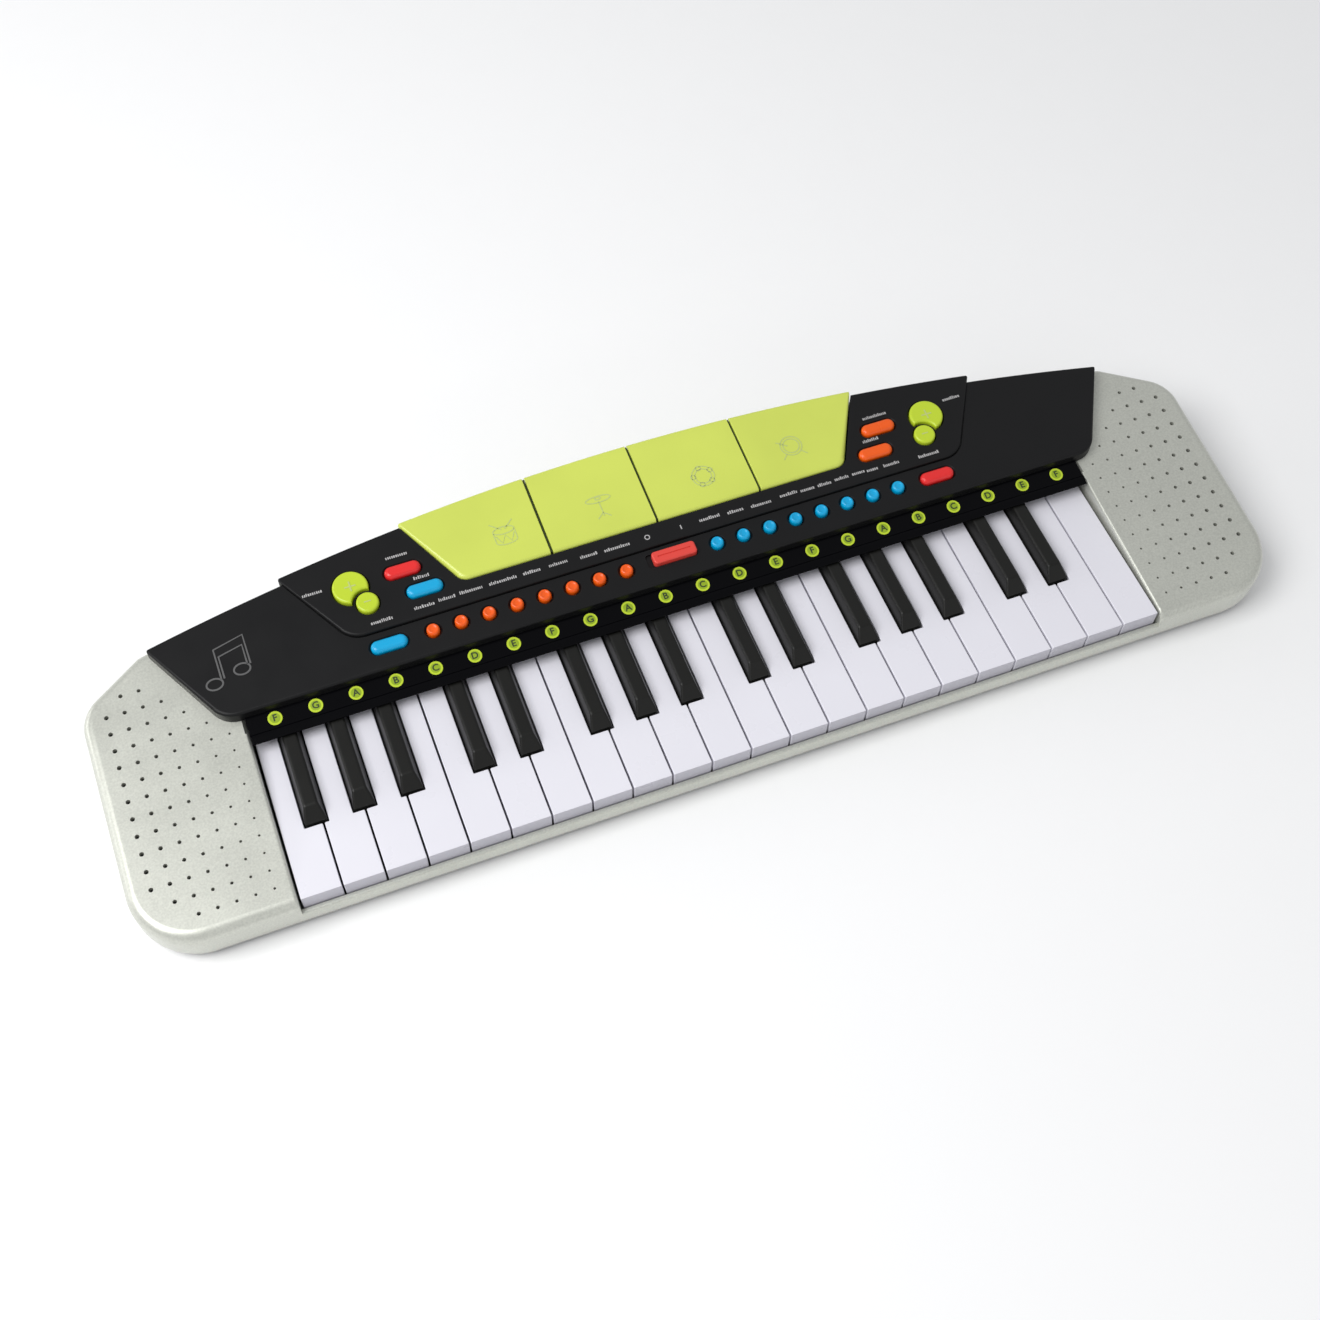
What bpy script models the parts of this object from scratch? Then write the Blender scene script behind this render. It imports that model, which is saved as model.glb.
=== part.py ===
"""Toy electronic keyboard: a silver casing with a loudspeaker in each end, a black control panel,
37 sprung keys, four drum pads, push buttons, rockers and a power slider.

Metres, +Z up, +X along the keys to the right, +Y to the back. The origin is under the middle of
the casing, on the surface that the keyboard stands on.
"""
import math

import bmesh
import bpy
from mathutils import Matrix, Vector

MM = 0.001
GAP = 0.3 * MM                      # clearance between pieces that face each other

# Keys
PITCH = 18.4 * MM                   # width that each white key takes up
WHITE_KEYS = 22                     # from F to F, three octaves
KEY_GAP = 0.9 * MM
KEY_TOP = 22.5 * MM                 # height of the white keys' tops
KEY_DROP = 11.0 * MM                # depth of a white key's front face
KEY_WALL = 1.6 * MM
BLACK_OFFSETS = {1: -0.155, 2: 0.0, 3: 0.155, 5: -0.08, 6: 0.08}    # in pitches, by place in the octave
OCTAVE = 7
BLACK_SLOT = 0.60 * PITCH           # gap that the white keys leave for a black key
BLACK_BASE = 0.53 * PITCH
BLACK_CREST = 0.33 * PITCH
BLACK_RISE = 5.6 * MM               # a black key's top above the white keys

# Casing
CASE_HALF = 269.7 * MM
CASE_BACK = 82.8 * MM               # the furthest point of the arched back; the front is as far forward
CASE_SKIRT = 3.2 * MM               # height of the silver shell's lower edge
CASE_WALL = 2.2 * MM
CASE_RIM = 5.0 * MM                 # rounding of the top edge
LIP_TOP = 14.2 * MM                 # front wall below the keys
BED_HALF = 203.2 * MM               # half the width of the opening that the keys lie in
KEYS_FRONT = 2.7 * MM - CASE_BACK   # Y of the white keys' front faces
DECK_SLOPE = 0.088                  # the top rises this much for each metre towards the back
CASE_ARCH = 970 * MM                # radius of the arched back, in plan
SHOULDER_X = 240 * MM               # the arch ends here and the shoulder slants forward
SHOULDER_Y = 33.5 * MM

# Control panel: heights are measured from the silver deck
PANEL_LIFT = 6.0 * MM
PANEL_CEILING = 3.8 * MM
PLATEAU_LIFT = 7.5 * MM
PAD_LIFT = 8.3 * MM
PANEL_ARCH = 1100 * MM              # radius of the arched back edges, in plan
PANEL_BACK = 75.4 * MM
PLATEAU_BACK = 78.1 * MM
PADS_BACK = 80.2 * MM
LEDGE_BACK = 71.5 * MM              # the casing's opening ends here, under the panel's back wall
PANEL_CORNER_X = 235.2 * MM
PANEL_FRONT = 6.4 * MM
PANEL_FRONT_X = 211.2 * MM
PLATEAU_CORNER_X = 172.2 * MM
PLATEAU_FRONT = 24.8 * MM
PLATEAU_FRONT_X = 149.0 * MM
PADS_CORNER_X = 113.5 * MM
PADS_FRONT = 36.4 * MM
PADS_FRONT_X = 94.0 * MM
PAD_SPLIT = 51.2 * MM               # the pads part at the middle and this far to each side
PAD_GAP = 0.8 * MM

# Buttons: centres on the panel, as (x, y)
ROUND_RADIUS = 3.15 * MM
ROUND_FIRST = 22.2 * MM
ROUND_STEP = 13.07 * MM
ROUND_COUNT = 8
ROUND_Y = 17.6 * MM
PILL_LENGTH = 17.4 * MM
PILL_WIDTH = 6.8 * MM
PILLS = {
    "record_button": (-117.7 * MM, 50.4 * MM, "red"),
    "play_button": (-111.0 * MM, 38.2 * MM, "blue"),
    "chord_button": (-133.9 * MM, 17.5 * MM, "blue"),
    "rhythm_button": (117.7 * MM, 50.4 * MM, "orange"),
    "demo_button": (111.0 * MM, 38.2 * MM, "orange"),
    "stop_button": (133.9 * MM, 17.5 * MM, "red"),
}
ROCKER_BIG = (142.3 * MM, 48.9 * MM)
ROCKER_SMALL = (137.1 * MM, 39.2 * MM)
ROCKER_BIG_RADIUS = 8.1 * MM
ROCKER_SMALL_RADIUS = 5.1 * MM
ROCKER_NECK = 1.9 * MM              # the ring of panel between a rocker's two caps
SLIDER_SIZE = (21.0 * MM, 6.4 * MM)
SLIDER_AT = (1.2 * MM, 18.4 * MM)
SLIDER_TRAVEL = 2.4 * MM
BUTTON_PROUD = 1.6 * MM

# Inside
FLOOR = 1.5 * MM
FLOOR_TOP = 2.9 * MM
TRAY_WALL_TOP = 6.0 * MM            # low enough for a pressed key's front to pass over
HINGE_Y = 20.2 * MM                 # the keys turn about this line
HINGE_Z = 18.0 * MM
BOARD_LIFT = -2.8 * MM
BOARD_THICKNESS = 1.6 * MM
SPEAKER_AT = (236.0 * MM, -25.0 * MM)
BATTERY_HALF = 31.0 * MM
BATTERY_FRONT = 24.0 * MM
BATTERY_BACK = 76.0 * MM
BATTERY_TOP = 18.5 * MM
BATTERY_WALL = 1.6 * MM
FEET = [(x * MM, y * MM) for x in (-236, 236) for y in (-58, 26)] + [(0, -66 * MM)]
FOOT_RADIUS = 8.0 * MM


# ---------------------------------------------------------------- scene

for old in list(bpy.data.objects):
    bpy.data.objects.remove(old)

PARTS = bpy.data.collections.new("toy_keyboard")
CUTTERS = bpy.data.collections.new("cutters")
for made in (PARTS, CUTTERS):
    bpy.context.scene.collection.children.link(made)

LOOKS = {
    "silver": ((0.60, 0.61, 0.57), 0.42, 0.25),
    "panel": ((0.022, 0.022, 0.025), 0.38, 0.0),
    "white": ((0.86, 0.85, 0.90), 0.28, 0.0),
    "black": ((0.02, 0.02, 0.02), 0.30, 0.0),
    "lime": ((0.62, 0.78, 0.09), 0.32, 0.0),
    "orange": ((0.96, 0.15, 0.01), 0.35, 0.0),
    "blue": ((0.0, 0.42, 0.72), 0.35, 0.0),
    "red": ((0.80, 0.035, 0.03), 0.35, 0.0),
    "board": ((0.03, 0.20, 0.07), 0.50, 0.0),
    "rubber": ((0.25, 0.25, 0.26), 0.80, 0.0),
    "speaker": ((0.05, 0.05, 0.05), 0.60, 0.3),
}


def look(name):
    """The Principled material for a slot name, made on first use."""
    if name in bpy.data.materials:
        return bpy.data.materials[name]
    colour, roughness, metallic = LOOKS[name]
    material = bpy.data.materials.new(name)
    material.use_nodes = True
    shader = material.node_tree.nodes["Principled BSDF"]
    shader.inputs["Base Color"].default_value = (*colour, 1.0)
    shader.inputs["Roughness"].default_value = roughness
    shader.inputs["Metallic"].default_value = metallic
    return material


# ---------------------------------------------------------------- shapes in plan

def deck(lift):
    """Height, as a function of y, of the plane that lies lift above the silver deck."""
    return lambda y: KEY_TOP + DECK_SLOPE * (y - KEYS_FRONT) + lift


def level(height):
    return lambda y: height


def arch(x, apex, radius=PANEL_ARCH):
    """Y of the arched back edge whose middle is at apex."""
    return apex - radius + math.sqrt(radius ** 2 - x * x)


def fillet(before, corner, after, radius, steps):
    """Points of an arc that rounds a corner of an outline."""
    corner, before, after = Vector(corner), Vector(before), Vector(after)
    inward = (before - corner).normalized()
    onward = (after - corner).normalized()
    half = inward.angle(onward) / 2
    start = corner + inward * radius / math.tan(half)
    centre = corner + (inward + onward).normalized() * radius / math.sin(half)
    spoke = start - centre
    turn = math.pi - 2 * half
    side = 1 if inward.cross(onward) < 0 else -1
    return [centre + Matrix.Rotation(side * turn * i / steps, 2) @ spoke for i in range(steps + 1)]


def rounded(corners, steps=4):
    """An outline from (x, y, radius) corners, anticlockwise; radius 0 keeps the corner sharp."""
    points = []
    for i, (x, y, radius) in enumerate(corners):
        if radius == 0:
            points.append(Vector((x, y)))
        else:
            after = corners[(i + 1) % len(corners)][:2]
            points += fillet(corners[i - 1][:2], (x, y), after, radius, steps)
    return points


def arched(half_x, apex, steps, radius=PANEL_ARCH):
    """The (x, y, 0) corners of an arched back, from +half_x to -half_x."""
    places = [half_x - 2 * half_x * i / steps for i in range(steps + 1)]
    return [(x, arch(x, apex, radius), 0) for x in places]


def case_outline(inset=0.0):
    side = CASE_HALF - inset
    back = arched(SHOULDER_X - inset * 0.4, CASE_BACK - inset, 12, CASE_ARCH)
    right = [(side, inset - CASE_BACK, 29 * MM - inset), (side, SHOULDER_Y - inset * 0.6, 18 * MM - inset)]
    left = [(-x, y, r) for x, y, r in reversed(right)]
    return rounded(right + back + left, steps=6)


def trapezium(corner_x, back, front_x, front, radius, steps=10, inset=0.0):
    """Arched back, straight slanting sides and a straight front with rounded corners."""
    corners = [(inset - front_x, front + inset, radius), (front_x - inset, front + inset, radius)]
    return rounded(corners + arched(corner_x - inset, back - inset, steps))


def circle(centre, radius, steps=16):
    angles = [2 * math.pi * i / steps for i in range(steps)]
    return [Vector((centre[0] + radius * math.cos(a), centre[1] + radius * math.sin(a))) for a in angles]


def stadium(centre, length, width, radius=None, steps=4):
    """A rectangle with rounded corners, by default with fully round ends."""
    radius = width / 2 - 0.01 * MM if radius is None else radius
    x, y = centre
    a, b = length / 2, width / 2
    return rounded([(x - a, y - b, radius), (x + a, y - b, radius),
                    (x + a, y + b, radius), (x - a, y + b, radius)], steps)


def rectangle(x_low, x_high, y_low, y_high):
    return [Vector(p) for p in ((x_low, y_low), (x_high, y_low), (x_high, y_high), (x_low, y_high))]


# ---------------------------------------------------------------- solids

def add_prism(mesh, outline, bottom, top):
    """Extrude an outline into a bmesh, between two heights that are functions of y."""
    face = mesh.faces.new([mesh.verts.new((x, y, bottom(y))) for x, y in outline])
    grown = bmesh.ops.extrude_face_region(mesh, geom=[face])["geom"]
    for vertex in (item for item in grown if isinstance(item, bmesh.types.BMVert)):
        vertex.co.z = top(vertex.co.y)


def finish_object(name, mesh, collection, material=None):
    bmesh.ops.recalc_face_normals(mesh, faces=mesh.faces)
    data = bpy.data.meshes.new(name)
    mesh.to_mesh(data)
    mesh.free()
    made = bpy.data.objects.new(name, data)
    collection.objects.link(made)
    if collection is CUTTERS:
        made.hide_render = True
        made.display_type = "WIRE"
    else:
        data.materials.append(look(material))
    return made


def prisms(name, shapes, collection=CUTTERS, material=None):
    """One object from a list of (outline, bottom, top)."""
    mesh = bmesh.new()
    for outline, bottom, top in shapes:
        add_prism(mesh, outline, bottom, top)
    return finish_object(name, mesh, collection, material)


def part(name, material, outline, bottom, top):
    return prisms(name, [(outline, bottom, top)], PARTS, material)


def combine(target, operation, shapes):
    """Cut from, or join to, a part a set of prisms that don't touch each other."""
    tool = prisms(f"{target.name}_{operation.lower()}_{len(target.modifiers)}", shapes)
    modifier = target.modifiers.new(operation.title(), "BOOLEAN")
    modifier.operation = operation
    modifier.solver = "EXACT"
    modifier.object = tool


def put_origin(made, point):
    """Move a piece's origin, not its shape, to a point on its joint's axis."""
    made.data.transform(Matrix.Translation(-Vector(point)))
    made.location = point


def mirrored(points):
    return [Vector((-x, y)) for x, y in reversed(points)]


# ---------------------------------------------------------------- casing

def make_top_case():
    case = part("top_case", "silver", case_outline(), level(CASE_SKIRT), deck(0.0))
    mesh = bmesh.new()
    mesh.from_mesh(case.data)
    rim = [e for e in mesh.edges if all(v.co.z > LIP_TOP for v in e.verts)]
    bmesh.ops.bevel(mesh, geom=rim, offset=CASE_RIM, segments=3, profile=0.5, affect="EDGES")
    mesh.to_mesh(case.data)
    mesh.free()

    inner = case_outline(CASE_WALL)
    cheek = BED_HALF + CASE_WALL
    right = [p for p in inner if p.x > cheek]
    first = min(right, key=lambda p: p.y)
    wall_back = CASE_BACK - CASE_WALL
    right = [Vector((cheek, first.y))] + right + [Vector((cheek, arch(cheek, wall_back, CASE_ARCH)))]
    under = deck(-CASE_WALL)
    combine(case, "DIFFERENCE", [(right, level(0), under), (mirrored(right), level(0), under)])

    front = KEYS_FRONT - 0.6 * MM
    ahead = [(-BED_HALF, front, 0), (BED_HALF, front, 0)]
    room = rounded(ahead + arched(BED_HALF, wall_back, 12, CASE_ARCH))
    combine(case, "DIFFERENCE", [(room, level(0), under)])
    opening = rounded(ahead + arched(BED_HALF, LEDGE_BACK, 12))
    combine(case, "DIFFERENCE", [(opening, deck(-CASE_WALL - 1 * MM), deck(20 * MM))])
    lip = rectangle(-BED_HALF, BED_HALF, -CASE_BACK - 5 * MM, front + 0.5 * MM)
    combine(case, "DIFFERENCE", [(lip, level(LIP_TOP), deck(20 * MM))])


def make_bottom_case():
    """Floor with a low wall inside the silver shell, feet, screw posts, key rail and battery box."""
    clear = CASE_WALL + GAP
    case = part("bottom_case", "silver", case_outline(clear), level(FLOOR), level(TRAY_WALL_TOP))
    well = [(case_outline(clear + 1.8 * MM), level(FLOOR_TOP), level(20 * MM))]
    combine(case, "DIFFERENCE", well)
    slot = rectangle(BED_HALF - GAP, BED_HALF + CASE_WALL + GAP, -CASE_BACK, CASE_BACK)
    slots = [(slot, level(FLOOR_TOP), level(20 * MM)), (mirrored(slot), level(FLOOR_TOP), level(20 * MM))]
    combine(case, "DIFFERENCE", slots)
    feet = [(circle(at, FOOT_RADIUS), level(0), level(FLOOR + 0.5 * MM)) for at in FEET]
    foot = level(FLOOR_TOP - 0.5 * MM)
    posts = [(circle((side * 262 * MM, y), 3 * MM, 8), foot, deck(-CASE_WALL - GAP))
             for side in (-1, 1) for y in (-55 * MM, 15 * MM)]
    rail = (rectangle(-200 * MM, 200 * MM, 21.0 * MM, 22.8 * MM), foot, level(21 * MM))
    box = (rectangle(-BATTERY_HALF, BATTERY_HALF, BATTERY_FRONT, BATTERY_BACK), foot, level(BATTERY_TOP))
    combine(case, "UNION", feet + posts + [rail, box])
    inside = rectangle(BATTERY_WALL - BATTERY_HALF, BATTERY_HALF - BATTERY_WALL,
                       BATTERY_FRONT + BATTERY_WALL, BATTERY_BACK - BATTERY_WALL)
    combine(case, "DIFFERENCE", [(inside, level(-1 * MM), level(BATTERY_TOP - BATTERY_WALL))])

    door_half = BATTERY_HALF - BATTERY_WALL - GAP
    door = rectangle(-door_half, door_half,
                     BATTERY_FRONT + BATTERY_WALL + GAP, BATTERY_BACK - BATTERY_WALL - GAP)
    part("battery_door", "silver", door, level(FLOOR), level(FLOOR_TOP))


# ---------------------------------------------------------------- control panel

def rocker_places(side):
    return [Vector((side * x, y)) for x, y in (ROCKER_BIG, ROCKER_SMALL)]


def notched_disc(side, radius, neck):
    """The larger rocker cap in plan: a disc that the ring around the smaller cap bites into."""
    big, small = rocker_places(side)
    bite = ROCKER_SMALL_RADIUS + neck
    apart = (small - big).length
    towards = math.atan2(small.y - big.y, small.x - big.x)
    half = math.acos((radius ** 2 + apart ** 2 - bite ** 2) / (2 * radius * apart))
    steps = 18
    sweep = 2 * math.pi - 2 * half
    rim = [big + Matrix.Rotation(towards + half + sweep * i / steps, 2) @ Vector((radius, 0))
           for i in range(steps + 1)]
    first, last = rim[-1] - small, rim[0] - small
    bite_turn = first.angle_signed(last)
    cut_steps = 5
    cut = [small + Matrix.Rotation(-bite_turn * i / cut_steps, 2) @ first for i in range(1, cut_steps)]
    return rim + cut


def make_control_panel():
    outline = trapezium(PANEL_CORNER_X, PANEL_BACK, PANEL_FRONT_X, PANEL_FRONT, 12 * MM)
    panel = part("control_panel", "panel", outline, deck(GAP), deck(PANEL_LIFT))
    plateau = trapezium(PLATEAU_CORNER_X, PLATEAU_BACK, PLATEAU_FRONT_X, PLATEAU_FRONT, 12 * MM)
    combine(panel, "UNION", [(plateau, deck(GAP), deck(PLATEAU_LIFT))])

    # the note strip: a sloping ledge in front of the panel, over the backs of the keys
    profile = [(-6.9, 28.85), (-1.5, 28.85), (8.0, 31.0), (8.0, 31.75), (-2.4, 30.3),
               (-3.2, 30.6), (-6.1, 29.9)]
    mesh = bmesh.new()
    half = BED_HALF - 0.6 * MM
    face = mesh.faces.new([mesh.verts.new((-half, y * MM, z * MM)) for y, z in profile])
    grown = bmesh.ops.extrude_face_region(mesh, geom=[face])["geom"]
    for vertex in (item for item in grown if isinstance(item, bmesh.types.BMVert)):
        vertex.co.x = half
    strip = finish_object("note_strip_shape", mesh, CUTTERS)
    join = panel.modifiers.new("Note strip", "BOOLEAN")
    join.operation = "UNION"
    join.solver = "EXACT"
    join.object = strip

    cavity = trapezium(PANEL_CORNER_X, PANEL_BACK, PANEL_FRONT_X, PANEL_FRONT, 10 * MM, inset=2.2 * MM)
    combine(panel, "DIFFERENCE", [(cavity, deck(-20 * MM), deck(PANEL_CEILING))])

    low, high = deck(-21 * MM), deck(21 * MM)
    rounds = [(circle((side * (ROUND_FIRST + ROUND_STEP * k), ROUND_Y), ROUND_RADIUS + GAP, 12), low, high)
              for side in (-1, 1) for k in range(ROUND_COUNT)]
    pills = [(stadium((x, y), PILL_LENGTH + 2 * GAP, PILL_WIDTH + 2 * GAP), low, high)
             for x, y, _ in PILLS.values()]
    discs = [(notched_disc(side, ROCKER_BIG_RADIUS + GAP, ROCKER_NECK - GAP), low, high) for side in (-1, 1)]
    smalls = [(circle(rocker_places(side)[1], ROCKER_SMALL_RADIUS + GAP), low, high) for side in (-1, 1)]
    slot = rectangle(-7 * MM, 7 * MM, SLIDER_AT[1] - 1.5 * MM, SLIDER_AT[1] + 1.5 * MM)
    combine(panel, "DIFFERENCE", rounds + pills + discs + smalls + [(slot, low, high)])
    recess = stadium((0, SLIDER_AT[1]), SLIDER_SIZE[0] + SLIDER_TRAVEL + 0.8 * MM,
                     SLIDER_SIZE[1] + 0.8 * MM, radius=1.5 * MM, steps=3)
    combine(panel, "DIFFERENCE", [(recess, deck(5.0 * MM), high)])

    pads = trapezium(PADS_CORNER_X + 3.5 * MM, PADS_BACK + 6 * MM, PADS_FRONT_X + 0.5 * MM,
                     PADS_FRONT - 0.5 * MM, 7 * MM)
    combine(panel, "DIFFERENCE", [(pads, low, high)])
    places = [(side * x * MM, y * MM) for side in (-1, 1) for x, y in ((152, 29), (133, 55), (60, 27.5))]
    foot = deck(BOARD_LIFT + BOARD_THICKNESS + GAP)
    head = deck(PANEL_CEILING + 0.5 * MM)
    combine(panel, "UNION", [(circle(at, 2.5 * MM, 8), foot, head) for at in places])


def pad_outline(left, right, inset):
    """One drum pad in plan; the outer pads keep the slanting side of the group."""
    def side_x(y):
        return PADS_FRONT_X + (PADS_CORNER_X - PADS_FRONT_X) * (y - PADS_FRONT) / (
            arch(PADS_CORNER_X, PADS_BACK) - PADS_FRONT)

    front = PADS_FRONT + inset
    back = PADS_BACK - inset
    slant_left = left is None
    slant_right = right is None
    low = -side_x(front) + inset if slant_left else left + PAD_GAP / 2 + inset
    high = side_x(front) - inset if slant_right else right - PAD_GAP / 2 - inset
    high_back = PADS_CORNER_X - inset if slant_right else high
    low_back = -PADS_CORNER_X + inset if slant_left else low
    steps = 4
    places = [high_back + (low_back - high_back) * i / steps for i in range(steps + 1)]
    corners = [(low, front, 6 * MM - inset if slant_left else 0),
               (high, front, 6 * MM - inset if slant_right else 0)]
    return rounded(corners + [(x, arch(x, back), 0) for x in places])


def make_drum_pads():
    spans = [(None, -PAD_SPLIT), (-PAD_SPLIT, 0), (0, PAD_SPLIT), (PAD_SPLIT, None)]
    for number, (left, right) in enumerate(spans, start=1):
        name = f"drum_pad_{number}"
        pad = part(name, "lime", pad_outline(left, right, 0), deck(0.8 * MM), deck(PAD_LIFT))
        inside = pad_outline(left, right, 1.8 * MM)
        combine(pad, "DIFFERENCE", [(inside, deck(-5 * MM), deck(PAD_LIFT - 2 * MM))])
        put_origin(pad, pad_hinge())


def pad_hinge():
    """A point on the line that the drum pads turn about, low at their back edge."""
    back = arch(PADS_CORNER_X, PADS_BACK)
    return (0, back, deck(1.5 * MM)(back))


# ---------------------------------------------------------------- buttons

def make_round_buttons(name, colour, side):
    """Eight round caps on one runner, which lies against the panel's underside."""
    last = ROUND_FIRST + ROUND_STEP * (ROUND_COUNT - 1)
    ends = sorted((side * (ROUND_FIRST - 5 * MM), side * (last + 5 * MM)))
    runner = rectangle(ends[0], ends[1], ROUND_Y - 4.4 * MM, ROUND_Y + 4.4 * MM)
    buttons = part(name, colour, runner, deck(1.8 * MM), deck(PANEL_CEILING - GAP))
    caps = [(circle((side * (ROUND_FIRST + ROUND_STEP * k), ROUND_Y), ROUND_RADIUS, 12),
             deck(2.4 * MM), deck(PANEL_LIFT + BUTTON_PROUD)) for k in range(ROUND_COUNT)]
    combine(buttons, "UNION", caps)
    put_origin(buttons, (side * (ROUND_FIRST + last) / 2, ROUND_Y, deck(2.4 * MM)(ROUND_Y)))


def make_pill_button(name, x, y, colour):
    surface = PANEL_LIFT if y < PLATEAU_FRONT else PLATEAU_LIFT
    flange = stadium((x, y), PILL_LENGTH + 1.6 * MM, PILL_WIDTH + 1.6 * MM, radius=2 * MM, steps=2)
    button = part(name, colour, flange, deck(1.8 * MM), deck(PANEL_CEILING - GAP))
    cap = stadium((x, y), PILL_LENGTH, PILL_WIDTH)
    combine(button, "UNION", [(cap, deck(2.4 * MM), deck(surface + BUTTON_PROUD))])
    put_origin(button, (x, y, deck(2.4 * MM)(y)))


def make_rocker(name, side):
    """Two caps on one plate, which tips to either side about a line between them."""
    big, small = rocker_places(side)
    outward = (small - big).normalized()
    ahead = outward.orthogonal() * 6 * MM
    near, far = big - outward * 4 * MM, small + outward * 3 * MM
    plate = [near - ahead, far - ahead, far + ahead, near + ahead]
    if (plate[1] - plate[0]).cross(plate[2] - plate[1]) < 0:
        plate.reverse()
    rocker = part(name, "lime", plate, deck(1.8 * MM), deck(PANEL_CEILING - 2 * GAP))
    top = deck(PLATEAU_LIFT + BUTTON_PROUD)
    combine(rocker, "UNION", [(notched_disc(side, ROCKER_BIG_RADIUS, ROCKER_NECK), deck(2.4 * MM), top),
                              (circle(small, ROCKER_SMALL_RADIUS), deck(2.4 * MM), top)])
    middle = (big + small) / 2
    put_origin(rocker, (middle.x, middle.y, deck(2.4 * MM)(middle.y)))


def make_power_slider():
    x, y = SLIDER_AT
    knob = stadium(SLIDER_AT, SLIDER_SIZE[0], SLIDER_SIZE[1], radius=1.2 * MM, steps=3)
    slider = part("power_slider", "red", knob, deck(5.0 * MM + GAP), deck(8.4 * MM))
    stem = rectangle(x - 4 * MM, x + 4 * MM, y - 1.2 * MM, y + 1.2 * MM)
    shoe = rectangle(x - 6 * MM, x + 6 * MM, y - 3.2 * MM, y + 3.2 * MM)
    combine(slider, "UNION", [(stem, deck(2.5 * MM), deck(6 * MM))])
    combine(slider, "UNION", [(shoe, deck(1.8 * MM), deck(PANEL_CEILING - GAP))])
    put_origin(slider, (x, y, deck(5.0 * MM)(y)))


# ---------------------------------------------------------------- keys

def boundary_x(index):
    """X of the line between white keys index - 1 and index."""
    return (index - WHITE_KEYS / 2) * PITCH


def black_places():
    """(boundary index, x of the middle) for each black key, from the left."""
    found = []
    for index in range(1, WHITE_KEYS):
        if index % OCTAVE in BLACK_OFFSETS:
            found.append((index, boundary_x(index) + BLACK_OFFSETS[index % OCTAVE] * PITCH))
    return found


def white_outline(index, inset):
    """A white key in plan, with a notch on each side where a black key lies."""
    blacks = dict(black_places())
    low = boundary_x(index) + KEY_GAP / 2 + inset
    high = boundary_x(index + 1) - KEY_GAP / 2 - inset
    front = KEYS_FRONT + inset
    step = KEYS_FRONT + 1.68 * PITCH - inset
    back = HINGE_Y - inset
    points = [(low, front), (high, front)]
    if index + 1 in blacks:
        neck = blacks[index + 1] - BLACK_SLOT / 2 - inset
        points += [(high, step), (neck, step), (neck, back)]
    else:
        points += [(high, back)]
    if index in blacks:
        neck = blacks[index] + BLACK_SLOT / 2 + inset
        points += [(neck, back), (neck, step), (low, step)]
    else:
        points += [(low, back)]
    return [Vector(p) for p in points]


def make_white_keys():
    for index in range(WHITE_KEYS):
        bottom = level(KEY_TOP - KEY_DROP)
        key = part(f"white_key_{index + 1:02d}", "white", white_outline(index, 0), bottom, level(KEY_TOP))
        hollow = white_outline(index, KEY_WALL)
        combine(key, "DIFFERENCE", [(hollow, level(0), level(KEY_TOP - 2 * MM))])
        put_origin(key, ((boundary_x(index) + boundary_x(index + 1)) / 2, HINGE_Y, HINGE_Z))


def make_black_keys():
    front = KEYS_FRONT + 1.74 * PITCH
    slope = 0.33 * PITCH
    head_back = -1.0 * MM
    for number, (_, x) in enumerate(black_places(), start=1):
        outline = rectangle(x - BLACK_BASE / 2, x + BLACK_BASE / 2, front, head_back)
        name = f"black_key_{number:02d}"
        key = part(name, "black", outline, level(KEY_TOP - 9 * MM), level(KEY_TOP + 0.4 * MM))
        mesh = bmesh.new()
        mesh.from_mesh(key.data)
        shoulder = max(mesh.faces, key=lambda f: f.calc_center_median().z)
        grown = bmesh.ops.extrude_face_region(mesh, geom=[shoulder])["geom"]
        mesh.faces.remove(shoulder)
        for vertex in (item for item in grown if isinstance(item, bmesh.types.BMVert)):
            vertex.co.x = x + (vertex.co.x - x) * BLACK_CREST / BLACK_BASE
            vertex.co.y = vertex.co.y + slope if vertex.co.y < head_back - slope else vertex.co.y
            vertex.co.z = KEY_TOP + BLACK_RISE
        bmesh.ops.recalc_face_normals(mesh, faces=mesh.faces)
        mesh.to_mesh(key.data)
        mesh.free()
        tail = rectangle(x - BLACK_BASE / 2 + 1 * MM, x + BLACK_BASE / 2 - 1 * MM, -4 * MM, HINGE_Y)
        combine(key, "UNION", [(tail, level(KEY_TOP - 8 * MM), level(KEY_TOP - 2 * MM))])
        put_origin(key, (x, HINGE_Y, HINGE_Z))


# ---------------------------------------------------------------- inside

def make_circuit_board():
    outline = rectangle(-158 * MM, 158 * MM, 11 * MM, 58 * MM)
    part("circuit_board", "board", outline, deck(BOARD_LIFT), deck(BOARD_LIFT + BOARD_THICKNESS))


def make_contact_strip():
    outline = rectangle(-200 * MM, 200 * MM, -14 * MM, -4 * MM)
    part("key_contact_strip", "rubber", outline, level(FLOOR_TOP + GAP), level(9.3 * MM))


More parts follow.
